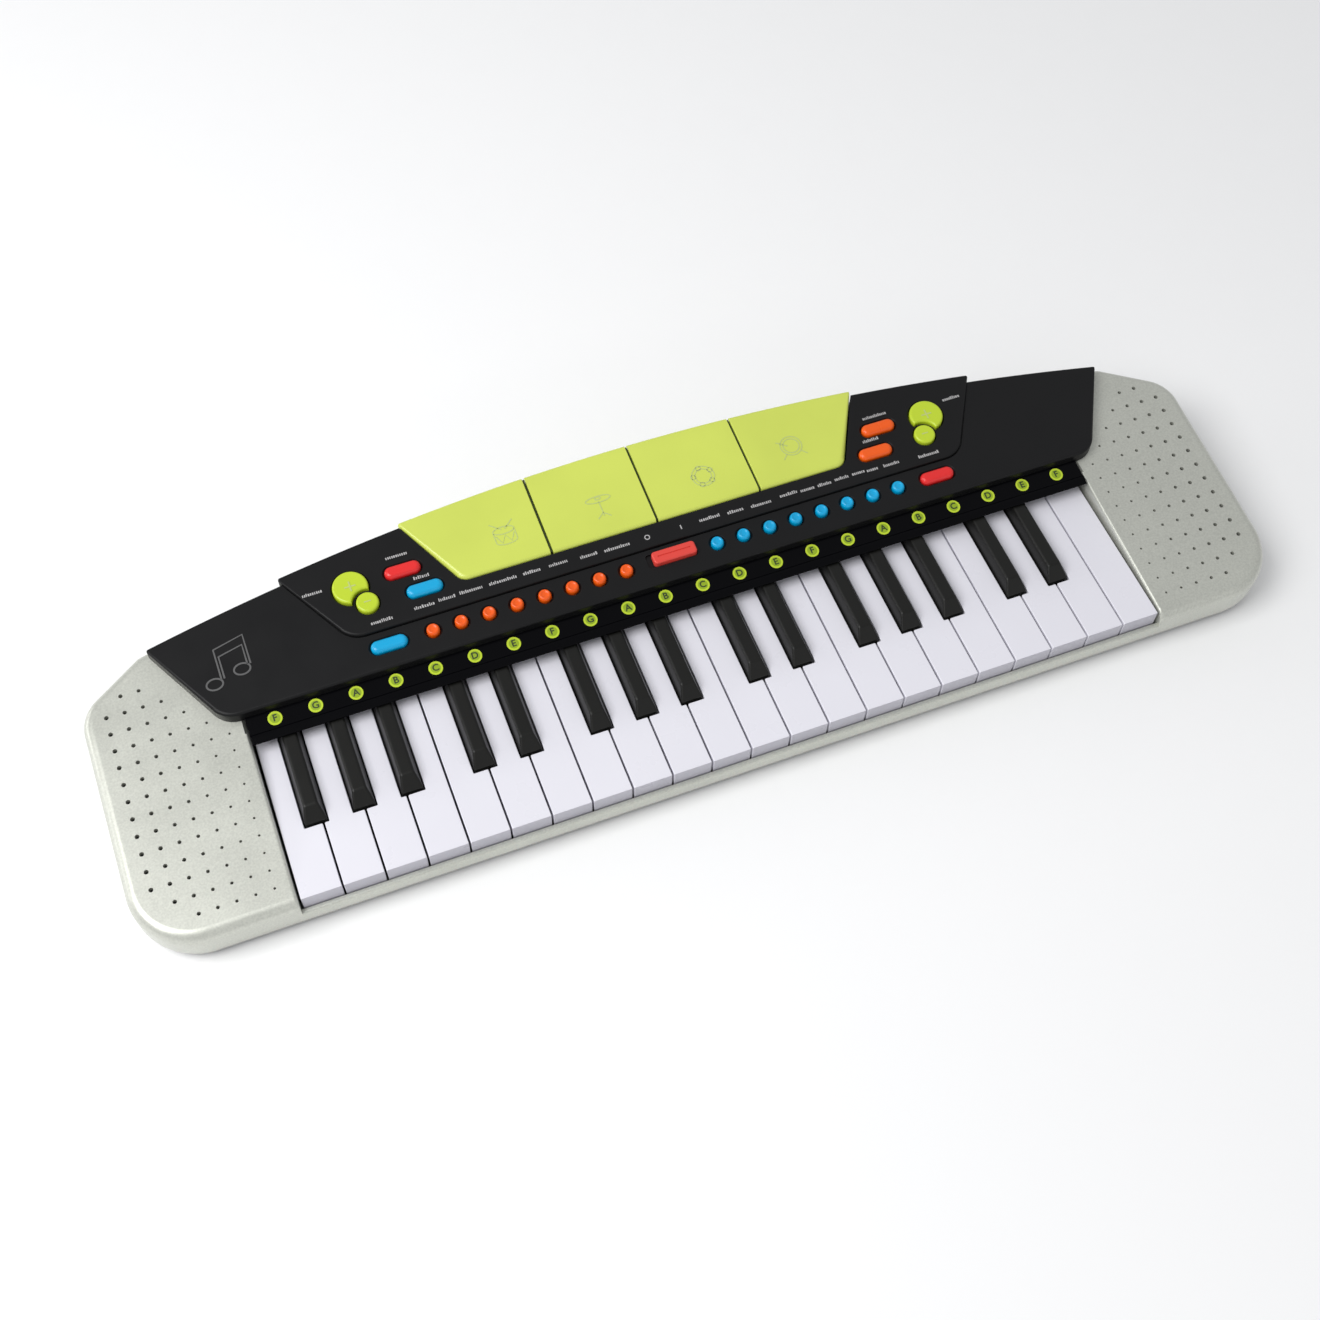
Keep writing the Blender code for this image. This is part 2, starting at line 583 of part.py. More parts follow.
def make_speaker(name, side):
    """A turned loudspeaker: cone, frame, basket and magnet."""
    profile = [(0, -4.0), (7, -4.6), (21.5, -0.9), (26, 0), (26, -1.6), (21.5, -2.6), (13, -8.5),
               (13, -14.0), (0, -14.0)]
    mesh = bmesh.new()
    ring = [mesh.verts.new((x * MM, 0, z * MM)) for x, z in profile]
    for first, second in zip(ring, ring[1:]):
        mesh.edges.new((first, second))
    data = bpy.data.meshes.new(name)
    mesh.to_mesh(data)
    mesh.free()
    data.materials.append(look("speaker"))
    speaker = bpy.data.objects.new(name, data)
    PARTS.objects.link(speaker)
    turn = speaker.modifiers.new("Turn", "SCREW")
    turn.steps = 20
    turn.render_steps = 20
    turn.use_merge_vertices = True
    turn.merge_threshold = 0.0001
    turn.use_smooth_shade = True
    x, y = SPEAKER_AT
    speaker.location = (side * x, y, deck(-CASE_WALL - 2 * GAP)(y))
    speaker.rotation_euler.x = math.atan(DECK_SLOPE)


# ---------------------------------------------------------------- assembly

make_top_case()
make_bottom_case()
make_control_panel()
make_drum_pads()
make_round_buttons("voice_buttons", "orange", -1)
make_round_buttons("beat_buttons", "blue", 1)
for pill, (pill_x, pill_y, pill_colour) in PILLS.items():
    make_pill_button(pill, pill_x, pill_y, pill_colour)
make_rocker("volume_rocker", -1)
make_rocker("tempo_rocker", 1)
make_power_slider()
make_white_keys()
make_black_keys()
make_circuit_board()
make_contact_strip()
make_speaker("speaker_left", -1)
make_speaker("speaker_right", 1)
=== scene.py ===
"""Looks of the toy electronic keyboard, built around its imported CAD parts.

The frame gives the sizes and places: the casing, the panel and the buttons are made again with
rounded edges, loudspeaker holes and printed marks, and each rides on the CAD body it belongs to.
"""
import math
import random

import bmesh
import bpy
from mathutils import Matrix, Vector


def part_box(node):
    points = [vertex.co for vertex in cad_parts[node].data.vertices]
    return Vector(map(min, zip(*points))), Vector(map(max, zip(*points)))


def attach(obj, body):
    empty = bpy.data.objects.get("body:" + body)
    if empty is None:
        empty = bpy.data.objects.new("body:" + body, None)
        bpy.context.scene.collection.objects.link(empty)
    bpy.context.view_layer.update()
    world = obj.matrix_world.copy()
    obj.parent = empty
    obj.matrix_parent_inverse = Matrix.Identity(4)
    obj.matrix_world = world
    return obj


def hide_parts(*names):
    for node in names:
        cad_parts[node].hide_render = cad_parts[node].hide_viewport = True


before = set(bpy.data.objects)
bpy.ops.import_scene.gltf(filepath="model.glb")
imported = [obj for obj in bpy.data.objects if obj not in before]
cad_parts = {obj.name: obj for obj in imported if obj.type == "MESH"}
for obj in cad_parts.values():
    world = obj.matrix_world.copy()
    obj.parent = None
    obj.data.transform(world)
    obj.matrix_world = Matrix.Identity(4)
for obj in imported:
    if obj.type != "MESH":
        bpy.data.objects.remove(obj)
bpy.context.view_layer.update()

MM = 0.001
GAP = 0.3 * MM                      # between pieces that touch or slide
SEAT = 0.05 * MM                    # printed marks and letters sink this far into their surface
PRINT_LIFT = 0.08 * MM
CUT_BELOW = -5 * MM                 # cutters that go right through reach from here
CUT_ABOVE = 80 * MM                 # to here


# ---------------------------------------------------------------- sizes from the frame

def low(node):
    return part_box(node)[0]


def high(node):
    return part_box(node)[1]


def middle(node):
    return (low(node) + high(node)) / 2


WHITES = sorted(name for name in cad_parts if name.startswith("white_key_"))
BLACKS = sorted(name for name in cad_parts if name.startswith("black_key_"))
PITCH = (low(WHITES[-1]).x - low(WHITES[0]).x) / (len(WHITES) - 1)
KEY_TOP = high(WHITES[0]).z
KEY_BOTTOM = low(WHITES[0]).z
KEYS_FRONT = low(WHITES[0]).y
KEYS_BACK = high(WHITES[0]).y
CASE_HALF = high("top_case").x
CASE_BACK = high("top_case").y
CASE_SKIRT = low("top_case").z
PANEL_CORNER_X = high("control_panel").x
DECK_SLOPE = 0.088                  # the top rises this much for each metre towards the back

# Casing
CASE_WALL = 2.2 * MM
CASE_RIM = 5.0 * MM
LIP_TOP = 14.2 * MM
BED_HALF = 203.2 * MM
BED_BACK = 50 * MM                  # stops short of the deck that the panel's back edge lies on
CASE_ARCH = 970 * MM                # radius of the arched back, in plan
SHOULDER_X = 240 * MM
SHOULDER_Y = 33.5 * MM
SHOULDER_RADIUS = 18 * MM
CORNER_RADIUS = 29 * MM
CASE_FOOT = ((1.8, 0), (1.7, 0.6), (1.1, 2.0), (0.55, 4.2), (0.2, 7.0))  # (drawn in, height) in mm
LIP_EDGE = 1.1 * MM
LIP_CRISP = 0.25 * MM
FLOOR = 1.5 * MM
FLOOR_TOP = 2.9 * MM
TRAY_WALL = 1.8 * MM
TRAY_WALL_TOP = 6.0 * MM
RAIL_FRONT = 21.0 * MM
RAIL_BACK = 22.8 * MM
RAIL_TOP = 21 * MM
BATTERY_WALL = 1.9 * MM
BATTERY_TOP = 18.5 * MM
BATTERY_ROOF = 16.9 * MM
END_POST_RADIUS = 3.6 * MM
BACK_POST_RADIUS = 4.2 * MM
SCREW_BORE = 3.0 * MM
FOOT_SOCKET = 6.4 * MM
VENT_X = 236 * MM
VENT_LENGTH = 26 * MM
VENT_WIDTH = 1.6 * MM
FEET = [(x * MM, y * MM) for x in (-236, 236) for y in (-58, 26)] + [(0, -66 * MM)]
END_SCREWS = [(x * MM, y * MM) for x in (-262, 262) for y in (-55, 15)]
BACK_SCREWS = [(-110 * MM, 40 * MM), (110 * MM, 40 * MM)]
SCREWS = END_SCREWS + BACK_SCREWS
FOOT_PROFILE = ((6.6, 0.0), (7.3, 0.25), (7.6, 0.7), (7.6, 1.45), (6.3, 1.45), (6.3, 1.9))
SCREW_PROFILE = ((2.6, 1.75), (2.7, 1.9), (2.7, 2.3), (1.4, 2.8), (1.2, 4.2))
CROSS_LONG = 1.6 * MM
CROSS_THIN = 0.3 * MM

# Control panel: heights are measured from the silver deck
PANEL_LIFT = 6.0 * MM
PLATEAU_LIFT = 7.5 * MM
PAD_LIFT = 8.3 * MM
PANEL_ARCH = 1100 * MM
PANEL_BACK = 75.4 * MM
PLATEAU_BACK = 78.1 * MM
PADS_BACK = 80.2 * MM
LEDGE_BACK = 71.5 * MM
PANEL_FRONT = 6.4 * MM
PANEL_FRONT_X = 211.2 * MM
PLATEAU_CORNER_X = 172.2 * MM
PLATEAU_FRONT = 24.8 * MM
PLATEAU_FRONT_X = 149.0 * MM
PADS_CORNER_X = 113.5 * MM
PADS_FRONT = 36.4 * MM
PADS_FRONT_X = 94.0 * MM
PAD_SPLIT = 51.2 * MM
PAD_RADIUS = 6 * MM
PANEL_RADIUS = 12 * MM
PANEL_SKIN = 2.2 * MM
CAVITY_TOP = 3.2 * MM
PANEL_POSTS = ((152, 29), (133, 55), (60, 27.5))

# Buttons
FLANGE_BOTTOM = 1.8 * MM            # runners and flanges under the panel's skin
FLANGE_TOP = 2.6 * MM
CAP_FOOT = 2.4 * MM
ROUND_RADIUS = 3.15 * MM
ROUND_FIRST = 22.2 * MM
ROUND_STEP = 13.07 * MM
ROUND_COUNT = 8
ROUND_Y = 17.6 * MM
BUTTON_PROUD = 1.6 * MM
PILL_LENGTH = 16.8 * MM
PILL_WIDTH = 6.3 * MM
SLIDER_Y = 18.4 * MM
ROCKER_BIG = (142.3 * MM, 48.9 * MM)
ROCKER_SMALL = (137.1 * MM, 39.2 * MM)
ROCKER_BIG_RADIUS = 8.1 * MM
ROCKER_SMALL_RADIUS = 5.1 * MM
ROCKER_NECK = 1.9 * MM

# Loudspeaker holes, in columns from the keys outwards: (first row, last row) of each column
HOLE_FIRST_X = 210.7 * MM
HOLE_FIRST_Y = -71.8 * MM
HOLE_STEP_X = 7.97 * MM
HOLE_STEP_Y = 8.24 * MM
HOLE_ROWS = [(0, 9), (0, 10), (0, 11), (0, 12), (0, 13), (1, 13), (2, 12)]


# ---------------------------------------------------------------- camera, light and floor

def make_camera():
    data = bpy.data.cameras.new("camera")
    data.lens = 46.25
    data.sensor_width = 36
    camera = bpy.data.objects.new("camera", data)
    camera.location = (-0.17013, -0.39045, 0.67471)
    camera.rotation_euler = [math.radians(a) for a in (31.234, -0.713, -20.875)]
    bpy.context.scene.collection.objects.link(camera)
    bpy.context.scene.camera = camera


def softbox(name, place, target, size, power, colour=(1, 1, 1)):
    data = bpy.data.lights.new(name, "AREA")
    data.shape = "RECTANGLE"
    data.size, data.size_y = size
    data.energy = power
    data.color = colour
    lamp = bpy.data.objects.new(name, data)
    lamp.location = place
    lamp.rotation_euler = (Vector(target) - Vector(place)).to_track_quat("-Z", "Y").to_euler()
    bpy.context.scene.collection.objects.link(lamp)


def make_studio():
    bpy.context.scene.view_settings.view_transform = "Standard"
    world = bpy.data.worlds.new("studio")
    world.use_nodes = True
    world.node_tree.nodes["Background"].inputs["Color"].default_value = (0.97, 0.98, 1.0, 1)
    world.node_tree.nodes["Background"].inputs["Strength"].default_value = 0.52
    bpy.context.scene.world = world
    softbox("key_light", (-0.9, -0.1, 1.2), (0, 0, 0), (0.9, 0.9), 14.5)
    softbox("front_strip", (0.35, -1.5, 0.75), (0, 0, 0), (1.6, 0.12), 1.2)
    softbox("left_strip", (-1.5, 0.85, 0.4), (0, 0, 0), (1.2, 0.2), 4)
    bpy.ops.mesh.primitive_plane_add(size=8)
    floor = bpy.context.object
    floor.name = "floor"
    floor.data.materials.append(plastic("floor_white", (0.98, 0.98, 0.98), 0.9, bump=0.0, mottling=0.0))


# ---------------------------------------------------------------- materials

def plastic(name, colour, roughness, bump=0.02, grain=900, mottling=0.04, coat=0.0, metallic=0.0, wear=0.0,
            specular=0.5, flake=0.0, front=None):
    """Moulded plastic: slight colour and gloss variation, a fine grain, edges that have rubbed, and optional
    painted shade on front faces.
    """
    material = bpy.data.materials.new(name)
    material.use_nodes = True
    tree = material.node_tree
    nodes, links = tree.nodes, tree.links
    shader = nodes["Principled BSDF"]
    shader.inputs["Metallic"].default_value = metallic
    shader.inputs["Specular IOR Level"].default_value = specular
    shader.inputs["Coat Weight"].default_value = coat
    shader.inputs["Coat Roughness"].default_value = 0.12
    place = nodes.new("ShaderNodeTexCoord").outputs["Object"]

    def noise(scale, detail=3):
        made = nodes.new("ShaderNodeTexNoise")
        made.inputs["Scale"].default_value = scale
        made.inputs["Detail"].default_value = detail
        links.new(place, made.inputs["Vector"])
        return made.outputs["Fac"]

    def spread(value, lowest, highest):
        made = nodes.new("ShaderNodeMapRange")
        made.inputs["From Min"].default_value = 0.3
        made.inputs["From Max"].default_value = 0.7
        made.inputs["To Min"].default_value = lowest
        made.inputs["To Max"].default_value = highest
        links.new(value, made.inputs["Value"])
        return made.outputs["Result"]

    tint = nodes.new("ShaderNodeMix")
    tint.data_type = "RGBA"
    tint.inputs["A"].default_value = (*[c * (1 - mottling) for c in colour], 1)
    tint.inputs["B"].default_value = (*[min(1, c * (1 + mottling)) for c in colour], 1)
    links.new(spread(noise(22), 0, 1), tint.inputs["Factor"])
    base = tint.outputs["Result"]
    # Painted shade: faces whose normal points towards -y are mixed towards the darker front colour, which
    # stands in for the shade on the keys' fronts.
    if front:
        parts = nodes.new("ShaderNodeSeparateXYZ")
        links.new(nodes["Texture Coordinate"].outputs["Normal"], parts.inputs["Vector"])
        front_shade_factor = nodes.new("ShaderNodeMapRange")
        front_shade_factor.inputs["From Min"].default_value = -0.55
        front_shade_factor.inputs["From Max"].default_value = -0.92
        links.new(parts.outputs["Y"], front_shade_factor.inputs["Value"])
        painted_front_shade = nodes.new("ShaderNodeMix")
        painted_front_shade.data_type = "RGBA"
        painted_front_shade.inputs["B"].default_value = (*front, 1)
        links.new(front_shade_factor.outputs["Result"], painted_front_shade.inputs["Factor"])
        links.new(base, painted_front_shade.inputs["A"])
        base = painted_front_shade.outputs["Result"]
    if flake:
        sparkle = nodes.new("ShaderNodeMix")
        sparkle.data_type = "RGBA"
        sparkle.blend_type = "MULTIPLY"
        sparkle.inputs["Factor"].default_value = 1
        links.new(base, sparkle.inputs["A"])
        links.new(spread(noise(1100, 1), 1 - flake, 1 + flake), sparkle.inputs["B"])
        base = sparkle.outputs["Result"]
    if wear:
        rounded_normal = nodes.new("ShaderNodeBevel")
        rounded_normal.samples = 4
        rounded_normal.inputs["Radius"].default_value = 0.5 * MM
        flat_normal = nodes.new("ShaderNodeNewGeometry").outputs["Normal"]
        facing = nodes.new("ShaderNodeVectorMath")
        facing.operation = "DOT_PRODUCT"
        links.new(rounded_normal.outputs["Normal"], facing.inputs[0])
        links.new(flat_normal, facing.inputs[1])
        edge = nodes.new("ShaderNodeMapRange")
        edge.inputs["From Min"].default_value = 0.995
        edge.inputs["From Max"].default_value = 0.9
        edge.inputs["To Max"].default_value = wear
        links.new(facing.outputs["Value"], edge.inputs["Value"])
        patchy = nodes.new("ShaderNodeMath")
        patchy.operation = "MULTIPLY"
        links.new(edge.outputs["Result"], patchy.inputs[0])
        links.new(spread(noise(300), 0, 1), patchy.inputs[1])
        rubbed = nodes.new("ShaderNodeMix")
        rubbed.data_type = "RGBA"
        rubbed.inputs["B"].default_value = (*[0.5 * c + 0.3 for c in colour], 1)
        links.new(patchy.outputs["Value"], rubbed.inputs["Factor"])
        links.new(base, rubbed.inputs["A"])
        base = rubbed.outputs["Result"]
    links.new(base, shader.inputs["Base Color"])
    links.new(spread(noise(60, 6), roughness * 0.85, min(1, roughness * 1.15)), shader.inputs["Roughness"])
    if bump:
        relief = nodes.new("ShaderNodeBump")
        relief.inputs["Strength"].default_value = 0.6
        relief.inputs["Distance"].default_value = bump * MM
        links.new(noise(grain), relief.inputs["Height"])
        links.new(relief.outputs["Normal"], shader.inputs["Normal"])
    return material


# ---------------------------------------------------------------- shapes in plan

def deck(lift):
    """Height, as a function of y, of the plane that lies lift above the silver deck."""
    return lambda y: KEY_TOP + DECK_SLOPE * (y - KEYS_FRONT) + lift


def level(height):
    return lambda y: height


def arch(x, apex, radius=PANEL_ARCH):
    """Y of the arched back edge whose middle is at apex."""
    return apex - radius + math.sqrt(radius ** 2 - x * x)


def fillet(before, corner, after, radius, steps):
    """Points of an arc that rounds a corner of an outline."""
    corner, before, after = Vector(corner), Vector(before), Vector(after)
    inward = (before - corner).normalized()
    onward = (after - corner).normalized()
    half = inward.angle(onward) / 2
    start = corner + inward * radius / math.tan(half)
    centre = corner + (inward + onward).normalized() * radius / math.sin(half)
    turn = math.pi - 2 * half
    side = 1 if inward.cross(onward) < 0 else -1
    return [centre + Matrix.Rotation(side * turn * i / steps, 2) @ (start - centre) for i in range(steps + 1)]


def rounded(corners, steps=8):
    """An outline from (x, y, radius) corners, anticlockwise; radius 0 keeps the corner sharp."""
    points = []
    for i, (x, y, radius) in enumerate(corners):
        if radius == 0:
            points.append(Vector((x, y)))
        else:
            after = corners[(i + 1) % len(corners)][:2]
            points += fillet(corners[i - 1][:2], (x, y), after, radius, steps)
    return points


def arched(half_x, apex, steps, radius=PANEL_ARCH):
    places = [half_x - 2 * half_x * i / steps for i in range(steps + 1)]
    return [(x, arch(x, apex, radius), 0) for x in places]


def case_outline(inset=0.0):
    side = CASE_HALF - inset
    back = arched(SHOULDER_X - inset * 0.4, CASE_BACK - inset, 48, CASE_ARCH)
    right = [(side, inset - CASE_BACK, CORNER_RADIUS - inset),
             (side, SHOULDER_Y - inset * 0.55, SHOULDER_RADIUS - inset)]
    left = [(-x, y, r) for x, y, r in reversed(right)]
    return rounded(right + back + left, steps=20)


def trapezium(corner_x, back, front_x, front, radius, inset=0.0, back_radius=1.1 * MM):
    """Arched back, straight slanting sides and a straight front, with rounded corners."""
    backs = arched(corner_x - inset, back - inset, 40)
    softer = max(back_radius - inset, 0.3 * MM)
    backs[0] = (*backs[0][:2], softer)
    backs[-1] = (*backs[-1][:2], softer)
    corner = max(radius - inset, 0.5 * MM)
    corners = [(inset - front_x, front + inset, corner), (front_x - inset, front + inset, corner)]
    return rounded(corners + backs, steps=10)


def circle(centre, radius, steps=40):
    angles = [2 * math.pi * i / steps for i in range(steps)]
    return [Vector((centre[0] + radius * math.cos(a), centre[1] + radius * math.sin(a))) for a in angles]


def stadium(centre, length, width, radius=None, steps=10):
    """A rectangle with rounded corners, by default with fully round ends."""
    radius = width / 2 - 0.01 * MM if radius is None else radius
    x, y = centre
    a, b = length / 2, width / 2
    return rounded([(x - a, y - b, radius), (x + a, y - b, radius),
                    (x + a, y + b, radius), (x - a, y + b, radius)], steps)


def rectangle(x_low, x_high, y_low, y_high):
    return [Vector(p) for p in ((x_low, y_low), (x_high, y_low), (x_high, y_high), (x_low, y_high))]


def mirrored(points):
    return [Vector((-x, y)) for x, y in reversed(points)]


# ---------------------------------------------------------------- solids

def add_prism(mesh, outline, bottom, top):
    """Extrude an outline into a bmesh, between two heights that are functions of y."""
    face = mesh.faces.new([mesh.verts.new((x, y, bottom(y))) for x, y in outline])
    grown = bmesh.ops.extrude_face_region(mesh, geom=[face])["geom"]
    ends = [item for item in grown if isinstance(item, bmesh.types.BMVert)]
    for vertex in ends:
        vertex.co.z = top(vertex.co.y)
    return ends


def prisms(shapes):
    """One bmesh from a list of (outline, bottom, top)."""
    mesh = bmesh.new()
    for outline, bottom, top in shapes:
        add_prism(mesh, outline, bottom, top)
    bmesh.ops.recalc_face_normals(mesh, faces=mesh.faces)
    return mesh


def lofted(rings):
    """A closed skin through rings of points, with the first and last ring capped."""
    mesh = bmesh.new()
    loops = [[mesh.verts.new(point) for point in ring] for ring in rings]
    for below, above in zip(loops, loops[1:]):
        for i, vertex in enumerate(below):
            j = (i + 1) % len(below)
            mesh.faces.new((vertex, below[j], above[j], above[i]))
    mesh.faces.new(reversed(loops[0]))
    mesh.faces.new(loops[-1])
    bmesh.ops.recalc_face_normals(mesh, faces=mesh.faces)
    return mesh


def ring_at(outline, height):
    return [(x, y, height(y)) for x, y in outline]


def moulded(outline_at, bottom, top, edge, steps=6, foot=0.0):
    """A prism whose upper rim is rounded; outline_at gives the outline drawn in by a distance."""
    rings = [ring_at(outline_at(foot), bottom)]
    if foot:
        rings.append(ring_at(outline_at(0), lambda y: bottom(y) + foot))
    for i in range(steps + 1):
        turn = math.radians(90 * i / steps)
        drop = edge * (1 - math.sin(turn))
        rings.append(ring_at(outline_at(edge * (1 - math.cos(turn))), lambda y, drop=drop: top(y) - drop))
    return lofted(rings)


def stroke(points, width, surface, thickness, closed=False):
    """A thin raised line along points in plan, lying on a surface."""
    points = [Vector(p) for p in points]
    count = len(points)
    left, right = [], []
    for i, point in enumerate(points):
        before = points[i - 1] if closed or i else point
        after = points[(i + 1) % count] if closed or i < count - 1 else point
        side = (after - before).normalized().orthogonal() * width / 2
        left.append(point + side)
        right.append(point - side)
    mesh = bmesh.new()
    shelves = []
    for offset in (-SEAT, thickness):
        shelves.append([[mesh.verts.new((p.x, p.y, surface(p.y) + offset)) for p in line]
                        for line in (left, right)])
    (low_left, low_right), (top_left, top_right) = shelves
    for i in range(count if closed else count - 1):
        j = (i + 1) % count
        mesh.faces.new((top_left[i], top_right[i], top_right[j], top_left[j]))
        mesh.faces.new((low_left[i], low_left[j], low_right[j], low_right[i]))
        mesh.faces.new((low_left[i], top_left[i], top_left[j], low_left[j]))
        mesh.faces.new((low_right[i], low_right[j], top_right[j], top_right[i]))
    if not closed:
        for i in (0, count - 1):
            mesh.faces.new((low_left[i], low_right[i], top_right[i], top_left[i]))
    bmesh.ops.recalc_face_normals(mesh, faces=mesh.faces)
    return mesh


def joined(meshes):
    whole = bmesh.new()
    for mesh in meshes:
        data = bpy.data.meshes.new("joined")
        mesh.to_mesh(data)
        mesh.free()
        whole.from_mesh(data)
        bpy.data.meshes.remove(data)
    return whole


def oval(x, y, half_x, half_y, start=0, end=360, steps=28):
    angles = [math.radians(start + (end - start) * i / steps) for i in range(steps + (end - start < 360))]
    return [(x + half_x * math.cos(a), y + half_y * math.sin(a)) for a in angles]


def along_x(profile, half):
    """A profile of (y, z) points pulled out from -half to +half."""
    mesh = bmesh.new()
    face = mesh.faces.new([mesh.verts.new((-half, y, z)) for y, z in profile])
    grown = bmesh.ops.extrude_face_region(mesh, geom=[face])["geom"]
    for vertex in (item for item in grown if isinstance(item, bmesh.types.BMVert)):
        vertex.co.x = half
    bmesh.ops.recalc_face_normals(mesh, faces=mesh.faces)
    return mesh


def to_object(name, mesh):
    data = bpy.data.meshes.new(name)
    mesh.to_mesh(data)
    mesh.free()
    made = bpy.data.objects.new(name, data)
    bpy.context.scene.collection.objects.link(made)
    return made


def carve(target, operation, mesh):
    """Apply a Boolean with a bmesh as its tool."""
    tool = to_object("tool", mesh)
    modifier = target.modifiers.new("carve", "BOOLEAN")
    modifier.operation = operation
    modifier.solver = "EXACT"
    modifier.object = tool
    graph = bpy.context.evaluated_depsgraph_get()
    made = bpy.data.meshes.new_from_object(target.evaluated_get(graph))
    target.modifiers.clear()
    target.data = made
    bpy.data.objects.remove(tool)


def soften(target, chosen, radius, segments=3):
    """Round the edges of an object that a test picks."""
    mesh = bmesh.new()
    mesh.from_mesh(target.data)
    edges = [e for e in mesh.edges if chosen(e)]
    bmesh.ops.bevel(mesh, geom=edges, offset=radius, segments=segments, profile=0.5, affect="EDGES")
    mesh.to_mesh(target.data)
    mesh.free()


def finished(piece, material, body, slot, *nodes, sharp=40):
    """Shade a piece, give it its material, and let it ride on a body and stand for CAD nodes."""
    piece.data.shade_smooth()
    piece.data.set_sharp_from_angle(angle=math.radians(sharp))
    even = piece.modifiers.new("Even shading", "WEIGHTED_NORMAL")
    even.keep_sharp = True
    piece.data.materials.clear()
    piece.data.materials.append(material)
    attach(piece, body)
    if nodes:
        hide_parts(*nodes)
    return piece


# ---------------------------------------------------------------- casing

def hole_columns():
    """(x, y, radius) of each loudspeaker hole on the right-hand end; they grow outwards."""
    for column, (first, last) in enumerate(HOLE_ROWS):
        radius = (0.55 + 0.08 * column) * MM
        for row in range(first, last + 1):
            yield HOLE_FIRST_X + HOLE_STEP_X * column, HOLE_FIRST_Y + HOLE_STEP_Y * row, radius


def end_outline(inset):
    """The inside of the casing's right-hand end, in plan."""
    cheek = BED_HALF + inset
    right = [p for p in case_outline(inset) if p.x > cheek]
    first = min(right, key=lambda p: p.y)
    return [Vector((cheek, first.y))] + right + [Vector((cheek, arch(cheek, CASE_BACK - inset, CASE_ARCH)))]


def make_casing():
    """The silver shell: rounded rim, bed for the keys, hollow ends and loudspeaker holes."""
    rings = [ring_at(case_outline(inset * MM), level(CASE_SKIRT + rise * MM)) for inset, rise in CASE_FOOT]
    for i in range(13):
        turn = math.radians(90 * i / 12)
        drop = CASE_RIM * (1 - math.sin(turn))
        rings.append(ring_at(case_outline(CASE_RIM * (1 - math.cos(turn))), deck(-drop)))
    casing = to_object("silver_casing", lofted(rings))

    lip_inner = KEYS_FRONT - 0.35 * MM
    ahead_of_case = -95 * MM
    bend = [math.radians(90 * i / 5) for i in range(6)]
    outer = [(-CASE_BACK + LIP_EDGE - LIP_EDGE * math.cos(a), LIP_TOP - LIP_EDGE + LIP_EDGE * math.sin(a))
             for a in bend]
    inner = [(lip_inner - LIP_CRISP + LIP_CRISP * math.sin(a), LIP_TOP - LIP_CRISP + LIP_CRISP * math.cos(a))
             for a in bend]
    around = [(BED_BACK, CUT_ABOVE), (ahead_of_case, CUT_ABOVE), (ahead_of_case, LIP_TOP - LIP_EDGE)]
    profile = around + outer + inner + [(lip_inner, CUT_BELOW), (BED_BACK, CUT_BELOW)]
    carve(casing, "DIFFERENCE", along_x(profile, BED_HALF))
    under = deck(-CASE_WALL)
    ahead = [(-BED_HALF, 0, 0), (BED_HALF, 0, 0)]
    room = rounded(ahead + arched(BED_HALF, CASE_BACK - CASE_WALL, 40, CASE_ARCH))
    carve(casing, "DIFFERENCE", prisms([(room, level(CUT_BELOW), under)]))
    opening = rounded(ahead + arched(BED_HALF, LEDGE_BACK, 40))
    carve(casing, "DIFFERENCE", prisms([(opening, deck(-CASE_WALL - 1 * MM), level(CUT_ABOVE))]))

    def beside_keys(e):
        on_cheek = all(abs(abs(v.co.x) - BED_HALF) < 1e-5 and v.co.z > LIP_TOP + 1.5 * MM for v in e.verts)
        faces = [abs(f.normal.x) > 0.99 for f in e.link_faces]
        return on_cheek and any(faces) and not all(faces) and all(v.co.y < 50 * MM for v in e.verts)

    soften(casing, beside_keys, 1.3 * MM, 4)

    right = end_outline(CASE_WALL)
    ends = [(outline, level(CUT_BELOW), under) for outline in (right, mirrored(right))]
    carve(casing, "DIFFERENCE", prisms(ends))
    holes = [(circle((side * x, y), radius, 14), level(10 * MM), level(60 * MM))
             for side in (-1, 1) for x, y, radius in hole_columns()]
    carve(casing, "DIFFERENCE", prisms(holes))
    finished(casing, SILVER, "casing", "casing_silver", "top_case", sharp=35)


def make_grille_cloth():
    """Dark cloth inside each perforated end, between the holes and the loudspeaker."""
    for name, side in (("left", -1), ("right", 1)):
        cloth = end_outline(CASE_WALL + 1.2 * MM)
        cloth = cloth if side > 0 else mirrored(cloth)
        mesh = prisms([(cloth, deck(-2.55 * MM), deck(-2.3 * MM))])
        finished(to_object(f"grille_cloth_{name}", mesh), CLOTH, "casing", "speaker_paper")


